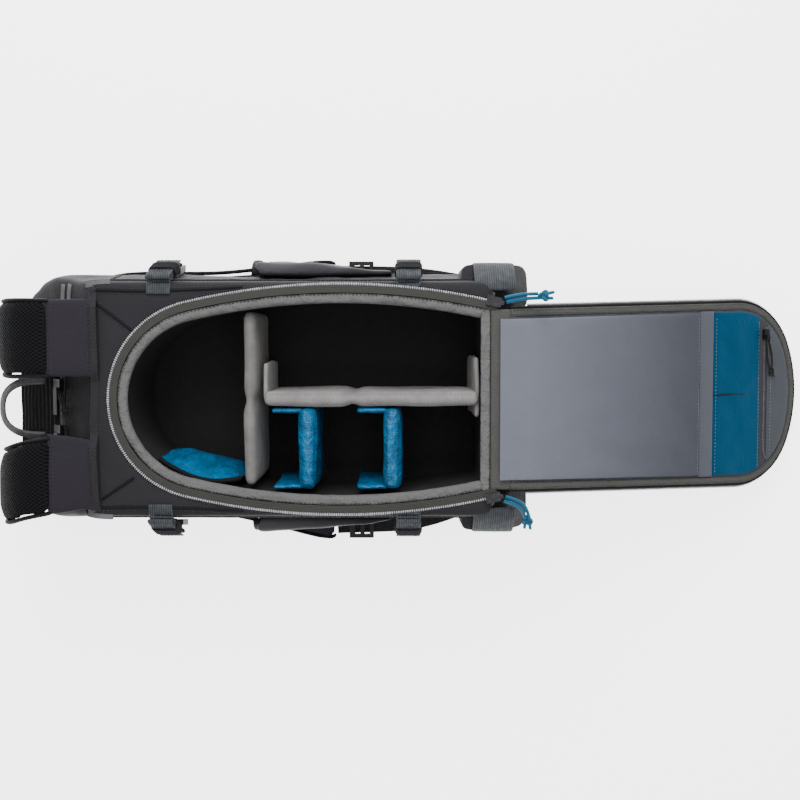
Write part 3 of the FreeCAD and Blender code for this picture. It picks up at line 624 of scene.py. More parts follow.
def scaled(colour, factor):
    """A colour made lighter or darker."""
    return tuple(min(1.0, c * factor) for c in colour)


def cloth(name, colour, roughness=0.75, pitch=0.0011, depth=0.00012, crease=0.0012, patch=22,
          lift=0.22, coarse=0.0004, painted_falloff=None):
    """Woven cloth, a share lighter than its colour: threads, a coarse grain and soft creases."""
    finish = Finish(name, roughness, sheen=0.02)
    finish.raise_by(finish.noise(patch, (1, 1, 1.4), detail=4), crease)
    finish.raise_by(finish.noise(420, detail=2), coarse)
    finish.raise_by(finish.weave(pitch), depth)
    seen = scaled(colour, 1 + lift)
    # where given, painted_falloff paints a lit end and a shaded end along the bag
    return finish.done(finish.fade(seen, *painted_falloff) if painted_falloff else seen)


def crinkled(name, colour, roughness=0.32):
    """Bright coated nylon with sharp small wrinkles and a soft gloss."""
    finish = Finish(name, roughness, sheen=0.0, gloss=0.3)
    wrinkle = finish.noise(85, (1, 1, 0.35), detail=3, rough=0.6)
    fine = finish.noise(240, (1, 0.6, 1), detail=2)
    finish.raise_by(wrinkle, 0.0055)
    finish.raise_by(fine, 0.0006)
    finish.raise_by(finish.weave(0.0009), 0.00008)
    # the colour follows the wrinkles: painted shade in their hollows and painted highlight on their
    # ridges
    share = finish.contrast(wrinkle, 0.35, 0.65)
    return finish.done(finish.tint(share, scaled(colour, 0.72), scaled(colour, 1.25)))


def webbing_finish(name, colour, direction, pitch=0.0021):
    """Ribbed strap webbing: ribs along its length and fine threads across them."""
    finish = Finish(name, 0.62, sheen=0.03)
    ribs = finish.axis(direction, pitch)
    threads = finish.weave(0.0008)
    worn = finish.noise(160, detail=4)
    finish.raise_by(ribs, 0.00018)
    finish.raise_by(threads, 0.0001)
    # the colour follows the ribs, painted highlight on their tops and painted shade in the grooves,
    # mottled by random worn patches
    share = finish.contrast(finish.maths("ADD", finish.maths("MULTIPLY", ribs, 0.25), worn), 0.2, 0.8)
    return finish.done(finish.tint(share, scaled(colour, 0.62), scaled(colour, 1.3)))


def mesh_finish(name, colour):
    """Three-layer spacer mesh with diamond cells."""
    finish = Finish(name, 0.85, sheen=0.02)
    cells = finish.diamonds(0.0070)
    fuzz = finish.noise(700, detail=2)
    finish.raise_by(cells, 0.0006)
    finish.raise_by(fuzz, 0.0003)
    # the cells' hollows are painted dark and their ridges light: painted shade and highlight
    share = finish.contrast(cells, 0.35, 1.0)
    return finish.done(finish.tint(share, scaled(colour, 0.35), scaled(colour, 1.6)))


def knit_finish(name, colour):
    """Brushed loop knit of the dividers, with faint fibres."""
    finish = Finish(name, 0.92, sheen=0.1)
    fibres = finish.noise(900, detail=3)
    soft = finish.noise(60, detail=3)
    finish.raise_by(soft, 0.0008)
    finish.raise_by(fibres, 0.00035)
    mixed = finish.maths("ADD", finish.maths("MULTIPLY", fibres, 0.6), soft)
    share = finish.contrast(mixed, 0.55, 1.05)
    return finish.done(finish.tint(share, scaled(colour, 0.78), scaled(colour, 1.18)))


def plastic(name, colour, roughness=0.42):
    """Moulded plastic with a fine spark-eroded grain and rubbed patches."""
    finish = Finish(name, roughness, gloss=0.22)
    grain = finish.noise(1800, detail=2)
    scuff = finish.noise(130, detail=5, rough=0.7)
    finish.raise_by(grain, 0.00006)
    share = finish.contrast(scuff, 0.45, 0.75)
    return finish.done(finish.tint(share, colour, scaled(colour, 1.9)))


def metal(name, colour, roughness=0.3):
    """Painted die-cast metal, rubbed bright in spots."""
    finish = Finish(name, roughness, metallic=0.6, gloss=0.4)
    scuff = finish.noise(500, detail=4, rough=0.7)
    finish.raise_by(scuff, 0.00005)
    share = finish.contrast(scuff, 0.5, 0.72)
    return finish.done(finish.tint(share, colour, scaled(colour, 3.0)))


def braid(name, colour):
    """Braided cord: two sets of strands that cross round it."""
    finish = Finish(name, 0.55, sheen=0.05, gloss=0.3)
    one, other = finish.axis((1, 1, 0.4), 0.0013), finish.axis((1, -1, -0.4), 0.0013)
    plait = finish.maths("MULTIPLY", one, other)
    finish.raise_by(plait, 0.00016)
    # the strands are painted lighter where they stand up and darker where they cross under: painted
    # highlight and shade
    share = finish.contrast(plait, -0.8, 0.8)
    return finish.done(finish.tint(share, scaled(colour, 0.55), scaled(colour, 1.35)))


NYLON = cloth("black_nylon", srgb(37, 36, 39), 0.62, lift=0.2)
# a darker copy of the black nylon for the lid's skin, the hip roots and the front pocket: painted shade
# on faces that look sideways or down
NYLON_SHADED = cloth("black_nylon_shaded", srgb(29, 28, 31), 0.6, crease=0.002, lift=0.25)
# a lighter copy of the black nylon: a painted highlight, brightest at the pocket's mouth and darkening
# towards the foot
NYLON_POCKET_LIT = cloth("black_nylon_pocket_lit", srgb(64, 62, 66), 0.5, crease=0.003, patch=30, lift=0.3,
                     painted_falloff=(0.0, 0.10, 0.35))
STRAP_CLOTH = cloth("strap_cloth", srgb(37, 34, 40), 0.6, patch=35, lift=0.16)
MESH = mesh_finish("spacer_mesh", srgb(19, 19, 21))
BAND_GREY = cloth("rim_lining", srgb(88, 87, 87), 0.85, patch=120, crease=0.0035, lift=0.24,
                  coarse=0.0012)
# near-black: the deep cavity's shade painted into the lining's colour
LINING = cloth("tub_lining", srgb(34, 33, 33), 0.9, patch=40, lift=0.2)
TAPE = cloth("zip_tape", srgb(52, 52, 50), 0.8, pitch=0.0009, patch=60, lift=0.3)
TAPE_DARK = cloth("zip_tape_dark", srgb(54, 53, 57), 0.8, pitch=0.0009, patch=60, lift=0.15)
COIL = plastic("zip_coil", srgb(158, 158, 162), 0.38)
COIL_DARK = plastic("zip_coil_dark", srgb(88, 86, 92), 0.4)
DIVIDER = knit_finish("divider_knit", srgb(112, 110, 108))
DIVIDER_LIGHT = knit_finish("divider_knit_light", srgb(128, 126, 125))
BLUE = crinkled("blue_nylon", srgb(0, 88, 130))
BLUE_FLAT = cloth("blue_pocket_nylon", srgb(0, 58, 86), 0.55, patch=30, crease=0.0022, lift=0.14)
# the padded face is painted lighter near the hinge and darker away from it: painted light falling off
# along the lid
LID_GREY = cloth("lid_panel_cloth", srgb(99, 102, 112), 0.7, patch=16, crease=0.003, lift=0.06,
                 painted_falloff=(0.25, 0.42, 0.42))
LID_GREY_DULL = cloth("lid_end_cloth", srgb(66, 69, 74), 0.75, patch=30, lift=0.09)
WELT_GREY = cloth("lid_welt_cloth", srgb(74, 77, 85), 0.7, patch=45, lift=0.1)
GUSSET = cloth("lid_gusset_knit", srgb(66, 66, 64), 0.9, pitch=0.0022, depth=0.0004, patch=60,
               lift=0.22)
BINDING = cloth("black_binding", srgb(22, 22, 24), 0.7, pitch=0.0008, patch=60, lift=0.2)
BINDING_GREY = cloth("grey_binding", srgb(92, 91, 94), 0.75, pitch=0.0014, depth=0.0003, patch=60,
                     lift=0.2)
WEB_SIDE = webbing_finish("side_webbing", srgb(62, 65, 69), (1, 0, 0))
WEB_BLACK = webbing_finish("black_webbing", srgb(40, 40, 42), (0, 1, 0))
WEB_LOOP = webbing_finish("loop_webbing", srgb(78, 78, 80), (0, 0, 1))
THREAD = plastic("grey_thread", srgb(96, 96, 99), 0.7)
THREAD_DARK = plastic("black_thread", srgb(44, 44, 46), 0.7)
THREAD_LID = plastic("lid_thread", srgb(90, 94, 102), 0.7)
BUCKLE = plastic("buckle_plastic", srgb(20, 20, 22), 0.5)
SLIDER = metal("slider_metal", srgb(30, 30, 33), 0.3)
CORD_BLUE = braid("blue_cord", srgb(0, 90, 124))
CORD_BLACK = braid("black_cord", srgb(14, 14, 16))


# ---- camera, light and floor -----------------------------------------------------------------


CAMERA_AIM = Vector((0.128, 0.0, 0.175))
CAMERA_STANDS_OFF = Vector((0.0, 0.060, 1.100))
LENS, SENSOR = 53.46, 36.0
# name, place, aim, size and power
LIGHTS = (
    ("key", (0.05, 1.1, 1.15), (0.05, 0, 0.1), 1.0, 30),
    ("fill", (0.3, -1.3, 1.9), (0.1, 0, 0.05), 1.8, 11),
    ("top", (0.1, 0.2, 2.4), (0.1, 0, 0), 1.6, 20),
)
FLOOR_HALF, FLOOR_LEVEL = 14.0, -0.0005
FLOOR_GLOW = 3.2
SKY_GLOW = 0.55


def make_camera():
    """Nearly straight down on the opening, from a little towards the bag's left."""
    camera = bpy.data.objects.new("camera", bpy.data.cameras.new("camera"))
    camera.location = CAMERA_AIM + CAMERA_STANDS_OFF
    back = CAMERA_STANDS_OFF.normalized()
    camera.rotation_euler = Matrix((X, back.cross(X), back)).transposed().to_euler()
    camera.data.lens = LENS
    camera.data.sensor_width = SENSOR
    bpy.context.scene.collection.objects.link(camera)
    bpy.context.scene.camera = camera


def make_light(name, place, aim, size, power):
    """A soft square light that shines at a point."""
    lamp = bpy.data.lights.new(name, "AREA")
    lamp.shape = "SQUARE"
    lamp.size = size
    lamp.energy = power
    light = bpy.data.objects.new(name, lamp)
    light.location = place
    light.rotation_mode = "QUATERNION"
    light.rotation_quaternion = (Vector(aim) - Vector(place)).to_track_quat("-Z", "Y")
    bpy.context.scene.collection.objects.link(light)


def make_floor():
    """A pale floor just under the bag, bright enough to stay pale round it."""
    half = FLOOR_HALF
    corners = [(-half, -half, 0), (half, -half, 0), (half, half, 0), (-half, half, 0)]
    finish = Finish("pale_floor", 0.9)
    speck = finish.noise(3, detail=2)
    finish.set(finish.shader, "Emission Color", (1.0, 1.0, 1.0))
    finish.set(finish.shader, "Emission Strength", FLOOR_GLOW)
    paint = finish.done(finish.tint(speck, (0.94, 0.94, 0.94), (0.96, 0.96, 0.96)))
    floor = piece_from("floor", corners, [(0, 1, 2, 3)], paint, body=None)
    floor.location.z = FLOOR_LEVEL


def make_studio():
    """Camera, three soft lights, an even sky and the floor."""
    make_camera()
    for name, place, aim, size, power in LIGHTS:
        make_light(name, place, aim, size, power)
    world = bpy.data.worlds.new("studio")
    world.use_nodes = True
    sky = world.node_tree.nodes["Background"]
    sky.inputs["Color"].default_value = (1, 1, 1, 1)
    sky.inputs["Strength"].default_value = SKY_GLOW
    bpy.context.scene.world = world
    make_floor()


# ---- cords -----------------------------------------------------------------------------------

# the routes of each pull's two strands from the slider, and where its knot sits and points
MAIN_PULLS = {
    "left": (
        ((0.2265, 0.0905, 0.1734), (0.237, 0.0929, 0.1744), (0.247, 0.094, 0.1758),
         (0.257, 0.0944, 0.177)),
        ((0.2248, 0.0946, 0.1734), (0.235, 0.0968, 0.1744), (0.245, 0.098, 0.1758),
         (0.2554, 0.0982, 0.177)),
    ),
    "right": (
        ((0.2265, -0.0905, 0.1734), (0.2374, -0.0934, 0.1734), (0.2462, -0.1, 0.1726),
         (0.2492, -0.111, 0.1682)),
        ((0.2248, -0.0946, 0.1734), (0.2346, -0.097, 0.1734), (0.2422, -0.1026, 0.1726),
         (0.2454, -0.1116, 0.1684)),
    ),
}
MAIN_KNOTS = {"left": (0.262, 0.0964, 0.1776), "right": (0.2478, -0.1152, 0.1654)}
KNOT_RUNS = {"left": (1, 0.05, 0), "right": (0.05, -1, -0.4)}
MAIN_CORD, LID_CORD, TOP_CORD = 0.0034, 0.0024, 0.0022
LID_PULL = (
    ((0.3154, 0.0546, 0.0062), (0.3178, 0.0458, 0.0054), (0.3182, 0.0356, 0.0046),
     (0.321, 0.026, 0.0056)),
    ((0.3186, 0.0546, 0.0062), (0.3226, 0.0464, 0.0052), (0.3252, 0.0364, 0.0046),
     (0.3244, 0.026, 0.0056)),
)
LID_KNOT = (0.3228, 0.0224, 0.0062)


def cord_curve(name, points, diameter, material, body):
    """A cord as one open spline with the route's points as its control points."""
    curve = bpy.data.curves.new(name, "CURVE")
    curve.dimensions = "3D"
    spline = curve.splines.new("NURBS")
    spline.points.add(len(points) - 1)
    for point, place in zip(spline.points, points):
        point.co = (*place, 1)
    spline.order_u = 3
    spline.use_endpoint_u = True
    curve.bevel_depth = diameter / 2
    curve.bevel_resolution = 5
    curve.resolution_u = 10
    curve.materials.append(material)
    piece = bpy.data.objects.new(name, curve)
    bpy.context.scene.collection.objects.link(piece)
    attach(piece, body)
    return piece


def knot_piece(name, centre, along, diameter, material, body):
    """An overhand knot, drawn as a tight trefoil, with the cord's two melted ends below it."""
    centre, along = Vector(centre), Vector(along).normalized()
    across = along.cross(Z).normalized()
    third = along.cross(across)
    turns, size = 72, diameter * 0.42
    centre = centre - along * diameter * 0.35
    rail = []
    for i in range(turns):
        t = 2 * math.pi * i / turns
        x = math.sin(t) + 2 * math.sin(2 * t)
        y = math.cos(t) - 2 * math.cos(2 * t)
        z = -math.sin(3 * t)
        rail.append(centre + (across * x + along * y) * size + third * z * size)
    ring = rail_along(rail + rail[:1], along + third * 0.3)[:-1]
    knot = sweep(name, ring, circle(diameter * 0.5, 10), material, body, loop=True)
    for number, (side, reach) in enumerate(((-1, 2.9), (1, 2.5))):
        foot = centre + across * side * diameter * 0.5
        end = foot + along * diameter * reach + across * side * diameter * 0.35
        line = [foot, foot.lerp(end, 0.4) + third * diameter * 0.12, foot.lerp(end, 0.95), end]
        rail = rail_along(line, third)
        sections = [circle(diameter * share, 10) for share in (0.5, 0.5, 0.5, 0.32)]
        tail = sweep(f"{name}_end_{number}", rail, sections, material, None, refine=1)
        tail.parent = knot
    return knot


def make_cords():
    """The blue pulls of the main sliders and the black one of the lid pocket's slider."""
    for side, _ in SIDES:
        body = f"main_zip_{side}"
        knot = knot_piece(f"zip_pull_knot_{side}", MAIN_KNOTS[side], KNOT_RUNS[side], MAIN_CORD,
                          CORD_BLUE, body)
        settle(knot, "cord_blue", f"main_pull_knot_{side}")
        for number, points in enumerate(MAIN_PULLS[side]):
            strand = cord_curve(f"zip_pull_{side}_{number}", points, MAIN_CORD, CORD_BLUE, body)
            settle(strand, "cord_blue", f"main_pull_cord_{side}")
            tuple(points[0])
    knot_place = LID @ Vector(LID_KNOT)
    along = LID.to_3x3() @ Vector((0.1, -1, 0))
    knot = knot_piece("lid_pull_knot_piece", knot_place, along, LID_CORD, CORD_BLACK, "lid_pocket_pull")
    settle(knot, "cord_black", "lid_pull_knot")
    for number, points in enumerate(LID_PULL):
        route = [LID @ Vector(p) for p in points]
        strand = cord_curve(f"lid_pull_{number}", route, LID_CORD, CORD_BLACK, "lid_pocket_pull")
        settle(strand, "cord_black", "lid_pull_cord")
        tuple(route[0])


# ---- shell -----------------------------------------------------------------------------------

CENTRE = Vector((0.03, 0, 0))  # the skin's rings are laid out round it


def reach_of(points):
    """How far an outline reaches from the centre, as angles and distances to look up."""
    pairs = sorted((math.atan2(p.y, p.x - CENTRE.x), math.hypot(p.x - CENTRE.x, p.y)) for p in points)
    angles = [a for a, _ in pairs]
    reaches = [r for _, r in pairs]
    wrapped = [a - 2 * math.pi for a in angles] + angles + [a + 2 * math.pi for a in angles]
    return np.array(wrapped), np.array(reaches * 3)


def rounded_plan(step):
    """The rounded rectangle that bounds the bag, seen from above."""
    inner_x, inner_y = HALF_LONG - PLAN_CORNER, HALF_WIDE - PLAN_CORNER
    outline = []
    for quarter, (sx, sy) in enumerate(((1, 1), (-1, 1), (-1, -1), (1, -1))):
        start = quarter * math.pi / 2
        stop = start + math.pi / 2
        stations = arc_stations(sx * inner_x, sy * inner_y, PLAN_CORNER, start, stop, step)
        outline += [place for place, _, _ in stations]
    return evenly(outline + outline[:1], step)


def form_at(form, level):
    """A form's value at a level, from its (level, value) pairs."""
    return float(np.interp(level, [z for z, _ in form], [v for _, v in form]))


def plan_reach(angles, level, plan):
    """How far the bag reaches from the centre at a level, softened at its corners."""
    head, foot, half = (form_at(f, level) for f in (HEAD_FORM, FOOT_FORM, SIDE_FORM))
    reaches = []
    for angle in angles:
        c, s = math.cos(angle), math.sin(angle)
        end = ((foot if c > 0 else head) - CENTRE.x) / c if abs(c) > 1e-6 else math.inf
        side = half / abs(s) if abs(s) > 1e-6 else math.inf
        reaches.append(min(end, side, float(np.interp(angle, *plan))))
    reaches = np.array(reaches)
    for _ in range(2):
        reaches = (np.roll(reaches, 1) + 2 * reaches + np.roll(reaches, -1)) / 4
    return reaches


def shell_rings():
    """Rings of points from the opening's edge, over the rim, down the sides and underneath."""
    outline = rounded_plan(0.0055)
    angles = [math.atan2(p.y, p.x - CENTRE.x) for p in outline]
    plan = reach_of(outline)
    mouth = [p for p, _, _ in opening_rail(0.0004, RIM, MOUTH_END, 0.004)]
    mouth += [mouth[-1].lerp(mouth[0], k / 40) for k in range(1, 40)]
    mouth = np.interp(angles, *reach_of(mouth))
    rim = plan_reach(angles, RIM, plan)
    room = np.maximum(rim - 0.007 - mouth, 0.0006)
    flat = np.zeros(len(angles))
    rings = [(mouth, flat + RIM - 0.0012)]
    for share in (0.04, 0.12, 0.3, 0.5, 0.7, 0.88, 1.0):
        crown = np.minimum(room * 0.05, 0.0014) * 4 * share * (1 - share)
        rings.append((mouth + room * share, RIM - 0.0002 + crown))
    for inset, drop in ((0.0035, 0.0008), (0.0012, 0.0028), (0.0, 0.0062)):
        reach = np.maximum(plan_reach(angles, RIM - drop, plan) - inset, mouth + room + 0.0007)
        rings.append((reach, flat + RIM - drop))
    for level in np.linspace(RIM - 0.012, BASE + 0.014, 19):
        rings.append((plan_reach(angles, level, plan), flat + level))
    for inset, rise in ((0.0005, 0.008), (0.003, 0.0035), (0.009, 0.0008), (0.02, 0.0)):
        rings.append((plan_reach(angles, BASE + rise, plan) - inset, flat + BASE + rise))
    last = rings[-1][0]
    for share in (0.8, 0.6, 0.4, 0.2, 0.03):
        rings.append((last * share, flat + BASE))
    return angles, rings


def shell_folds(point, level_share):
    """How far the side cloth sinks or puffs out at a point, in metres."""
    sink = 0.0026 * level_share
    broad = noisy((point.x, point.y, point.z * 1.8), 12, 0.0036, 3.1)
    slanted = (point.x + point.z * 0.7, point.y, point.z * 2.2 - point.x * 0.5)
    ridge = 0.0026 * (1 - abs(noisy(slanted, 21, 2.2, 7.7))) ** 3
    creases = noisy((point.x * 0.6, point.y, point.z * 2.4), 60, 0.0008, 7.7)
    return (broad + ridge + creases) * level_share - sink


def make_shell():
    """The bag's sewn skin, with slack sides, round the opening."""
    angles, rings = shell_rings()
    points = []
    for reach, level in rings:
        for angle, r, z, mouth_r in zip(angles, reach, level, rings[0][0]):
            out = Vector((math.cos(angle), math.sin(angle), 0))
            point = CENTRE + out * r + Z * z
            share = min(1.0, max(0.0, (RIM - 0.006 - z) / 0.03)) * min(1.0, max(0.0, (z - BASE) / 0.02))
            moved = point + out * shell_folds(point, share)
            yoke = 1.0 if z > RIM - 0.002 and r > reach.min() * 0.2 else 0.0
            loose = yoke * min(1.0, (r - mouth_r) / 0.02)
            moved.z += loose * (noisy(point, 26, 0.0011, 1.3) + noisy(point, 70, 0.0005, 8.0) - 0.0004)
            points.append(moved)
    faces = ring_faces(len(rings), len(angles))
    shell = piece_from("bag_shell", points, faces, NYLON, refine=1)
    settle(shell, "shell_nylon", "outer_shell", "yoke_panel", "floor_padding", "side_padding_left",
           "side_padding_right", "head_padding", "foot_padding")
    return shell


# ---- opening ---------------------------------------------------------------------------------


def make_opening_zip():
    """The tape, the coil and the stitched rows round the opening."""
    tape_section = [(across - 0.0046, lift + 0.0008 - 0.09 * across)
                    for across, lift in flat_section(0.0078, 0.0018, 5, 0.0004)]
    rail = opening_rail(0.0, RIM, HINGE_X - 0.003, 0.004)
    tape = sweep("opening_tape", rail, tape_section, TAPE, refine=1, vary=uneven(60, 0.0007, 4.0))
    settle(tape, "zip_tape", "opening_zip_tape")
    coil = beads("opening_coil", opening_rail(0.0, RIM + 0.0011, HINGE_X - 0.001, TOOTH_PITCH),
                 TOOTH, COIL)
    settle(coil, "zip_coil", "opening_zip_teeth")
    edge = [p for p, _, _ in opening_rail(-0.0026, RIM + 0.0006, HINGE_X - 0.006, 0.002)]
    sewn = [p for p, _, _ in opening_rail(0.0098, RIM + 0.0014, SEWN_END, 0.002)]
    stitches("opening_stitches", [edge, sewn], THREAD_DARK)


def make_rim_band():
    """The puckered lining band that rolls from the zip over into the cavity."""
    section = [(-0.0082, -0.0016), (-0.0086, 0.0002), (-0.0105, 0.0009), (-0.0135, 0.0012),
               (-0.0165, 0.0004), (-0.0180, -0.0020), (-0.0178, -0.0050), (-0.0160, -0.0052),
               (-0.0125, -0.0024)]

    def pucker(p):
        return p + Z * noisy((p.x * 2.2, p.y, p.z), 60, 0.0018, 9.0) + Z * noisy(p, 170, 0.0009, 2.0)

    band = sweep("rim_lining_band", opening_rail(0.0, RIM, BAND_END, 0.003), section, BAND_GREY,
                 refine=1, vary=pucker)
    settle(band, "lining_grey", "rim_band")
    half = 0.086
    line = [Vector((BAND_END, -half + 2 * half * k / 50, RIM - 0.0012)) for k in range(51)]
    foot = sweep("foot_lining_band", rail_along(line), flat_section(0.010, 0.003), BAND_GREY,
                 refine=1, vary=pucker)


def make_tub():
    """The lining that drops from the rim and covers the cavity's floor."""

    def ring(extra, level):
        rail = opening_rail(LINING_INSET + extra, level, TUB_END - extra, 0.004)
        return shared_out([p for p, _, _ in rail], 170)

    rings = [ring(0.0, level) for level in np.linspace(RIM - 0.0022, FLOOR + 0.012, 12)]
    rings += [ring(0.0008, FLOOR + 0.006), ring(0.004, FLOOR + 0.0022), ring(0.010, FLOOR + 0.0012)]
    middle = Vector((0.04, 0, FLOOR + 0.001))
    rings += [[p.lerp(middle, share) for p in rings[-1]] for share in (0.2, 0.4, 0.6, 0.8, 0.96)]
    points = []
    for row in rings:
        for p in row:
            inward = (Vector((middle.x, 0, p.z)) - p).normalized()
            points.append(p + inward * abs(noisy(p, 17, 0.0022, 5.0)) + Z * noisy(p, 25, 0.0006, 6.0))
    faces = ring_faces(len(rings), len(rings[0]))
    # the lining's near-black colour is painted shade of the deep cavity
    tub = piece_from("tub_lining_cloth", points, faces, LINING, refine=1)
    settle(tub, "lining_dark", "lining_tub")


def make_hinge_cloth():
    """The cloth hinge that bends between the bag's foot rim and the lid."""
    start, end = Vector((0.2125, 0, RIM + 0.0006)), LID @ Vector((0.0135, 0, 0.0004))
    crest = start.lerp(end, 0.5) + Vector((0.0008, 0, 0.0012))
    path = smooth_path([start, crest, end], 0.0022)
    half, across = 0.084, 60
    points = []
    for skin in (1, -1):
        for i, place in enumerate(path):
            for k in range(across + 1):
                share = -1 + 2 * k / across
                p = Vector(place) + Y * half * share + Z * skin * 0.0006
                points.append(p + Z * noisy(p, 70, 0.0008, 3.0))
    faces = closed_grid_faces(len(path), across + 1)
    cloth_piece = piece_from("hinge_cloth", points, faces, GUSSET, body=None)
    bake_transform(cloth_piece)
    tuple(end)
    settle(cloth_piece, "lining_grey", "hinge_strip")


# ---- seams and details on the skin -----------------------------------------------------------


def on_top(*places, lift=0.0006):
    """Places on the skin straight under plan points, joined every 3 mm."""
    flat = smooth_path([(x, y, 0) for x, y in places], 0.003)
    return press_all(SHELL_SURFACE, [(p[0], p[1], BESIDE) for p in flat], -Z, lift)


def on_side(side, *places, lift=0.0006):
    """Places on the skin beside points of (x, z), on the left (1) or the right (-1)."""
    flat = smooth_path([(x, 0, z) for x, z in places], 0.003)
    return press_all(SHELL_SURFACE, [(p[0], side * BESIDE, p[2]) for p in flat], -Y * side, lift)


def seam(name, line, material, radius=0.0011, up=Z):
    """A thin welt along a line on the skin."""
    made = sweep(name, rail_along(line, up), circle(radius, 8, 0.7), material)


def shifted(line, across):
    """The line moved sideways in plan."""
    return [place + out * across for place, out, _ in rail_along(line, Z)]


def make_top_seams():
    """Seams of the harness side: the yoke's darts and the long edge seams."""
    lines = {
        "dart_left": [(-0.1545, 0.0896), (-0.138, 0.0775), (-0.1204, 0.0637)],
        "dart_right": [(-0.1509, -0.0933), (-0.136, -0.0835), (-0.1204, -0.073)],
    }
    edge = ((-0.156, 0.1015), (-0.110, 0.1008), (-0.060, 0.1022), (-0.018, 0.1046))
    for side_name, side in SIDES:
        lines[f"edge_{side_name}"] = [(x, side * y) for x, y in edge]
    sewn = []
    for name, places in lines.items():
        line = on_top(*places)
        seam(f"seam_{name}", line, BINDING)
        sewn.append(shifted(line, 0.0024))
        sewn.append(shifted(line, -0.0024))
    stitches("top_seam_stitches", sewn, THREAD_DARK)


def make_yoke_hem():
    """The folded hem across the yoke that covers the roots of both shoulder straps."""
    under = [surface_of(bpy.data.objects[f"strap_wing_cloth_{name}"]) for name, _ in SIDES]
    line = []
    for k in range(101):
        y = -0.104 + 0.208 * k / 100
        x = -0.1565 + 0.0010 * math.sin(y * 40)
        hits = [press(surface, (x, y, ABOVE), -Z) for surface in (SHELL_SURFACE, *under)]
        high = max(p.z for p in hits if p is not None)
        line.append(Vector((x, y, high)))
    levels = [p.z for p in line]
    for i, p in enumerate(line):
        near = levels[max(0, i - 2):i + 3]
        p.z = sum(near) / len(near) + 0.0012
    hem = sweep("yoke_hem", rail_along(line, Z), flat_section(0.0085, 0.0018), NYLON, refine=1,
                vary=wavy(45, 0.0008, 4.0))
    rows = [[p + X * across + Z * 0.0012 for p in line] for across in (-0.0028, 0.0028)]
    stitches("yoke_hem_stitches", rows, THREAD_DARK)


def make_side_welts(side_name, side):
    """Welted seams low and high along a side, and up it near both ends."""
    up = Y * side
    for number, level in enumerate((0.158, 0.050)):
        places = [(x, level) for x in (-0.190, -0.10, 0.0, 0.10, 0.198)]
        line = on_side(side, *places, lift=0.0004)
        seam(f"side_welt_{side_name}_{number}", line, BINDING, radius=0.0015, up=up)
        rows = [[p + Z * 0.0034 for p in line], [p - Z * 0.0034 for p in line]]
        stitches(f"side_stitches_{side_name}_{number}", rows, THREAD_DARK, up)
    for number, x in enumerate((-0.147, 0.192)):
        line = on_side(side, (x, 0.157), (x + 0.002, 0.13), (x, 0.09), (x, 0.052), lift=0.0004)
        seam(f"side_upright_{side_name}_{number}", line, BINDING, radius=0.0012, up=up)


def make_foot_piping(side_name, side):
    """The grey piping over a corner of the foot."""
    corner = on_top((0.2145, side * 0.0985), (0.228, side * 0.0975), (0.240, side * 0.094),
                    (0.2475, side * 0.088), lift=0.0)
    seam(f"foot_piping_{side_name}", corner, BINDING_GREY, radius=0.0021)


def make_head_trim(side_name, side):
    """A ribbed patch at a side's head end, and two narrow bands on the head's slope beside it."""
    ribs = on_top((-0.166, side * 0.1075), (-0.154, side * 0.1085), (-0.141, side * 0.109))
    patch = sweep(f"head_rib_patch_{side_name}", rail_along(ribs),
                  flat_section(0.0075, 0.0016, 4, 0.0005), BINDING_GREY)
    for number, x in enumerate((-0.1945, -0.1865)):
        band = on_top((x, side * 0.0865), (x - 0.0005, side * 0.097), (x + 0.001, side * 0.1085))
        strip = sweep(f"head_band_{side_name}_{number}", rail_along(band),
                      flat_section(0.0042, 0.0020, 2, 0.0004), BINDING_GREY)


def make_side_seams():
    """The seams, piping and trim of both sides."""
    for side_name, side in SIDES:
        make_side_welts(side_name, side)
        make_foot_piping(side_name, side)
        make_head_trim(side_name, side)


# ---- cavity ----------------------------------------------------------------------------------


def make_cross_divider():
    """The padded divider across the bay, pinched at its middle."""
    low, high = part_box("cross_divider")
    low, high = low + X * 0.0010, high - X * 0.0050

    def pinch(p):
        near = math.exp(-((p.y + 0.002) / 0.006) ** 2)
        middle = (low.x + high.x) / 2
        p = Vector((middle + (p.x - middle) * (1 - 0.42 * near), p.y, p.z - 0.0022 * near))
        return p + Vector((noisy(p, 22, 0.0016, 3.0), 0, noisy(p, 18, 0.0022, 8.0)))

    cross = soft_box("cross_divider_pad", low, high, DIVIDER, "cross_divider_body", 0.005, 0.0055,
                     (0.0010, 0.0, 0.0012), pinch)
    settle(cross, "divider_grey", "cross_divider")


LONG_PINCH = 0.083  # where the long divider's top is pinched


def make_long_divider():
    """The light padded divider along the bag, with a flap at each end, pinched once."""
    low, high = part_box("long_divider")
    half, foot = 0.0068, low.z + 0.003
    pads = (
        ("long_divider_pad", (low.x + 0.001, -half, low.z), (high.x - 0.001, half, high.z), 0.0055),
        ("long_divider_near_flap", (low.x, -0.002, foot), (low.x + 0.0048, 0.034, high.z - 0.006),
         0.002),
        ("long_divider_far_flap", (high.x - 0.005, -0.018, foot), (high.x, 0.040, high.z - 0.008),
         0.002),
    )
    made = []
    soft = wavy(20, 0.0016, 5.0)

    def notch(p):
        near = math.exp(-((p.x - LONG_PINCH) / 0.005) ** 2)
        return soft(Vector((p.x, p.y * (1 - 0.42 * near), p.z - 0.0026 * near)))

    for name, a, b, edge in pads:
        pad = soft_box(name, a, b, DIVIDER_LIGHT, "long_divider_body", 0.0042, edge,
                       (0, 0.0012, 0.001) if edge > 0.003 else (0, 0, 0), notch)
        made.append(pad)
    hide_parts("long_divider")
    stitch_long_divider(made[0], low.x)


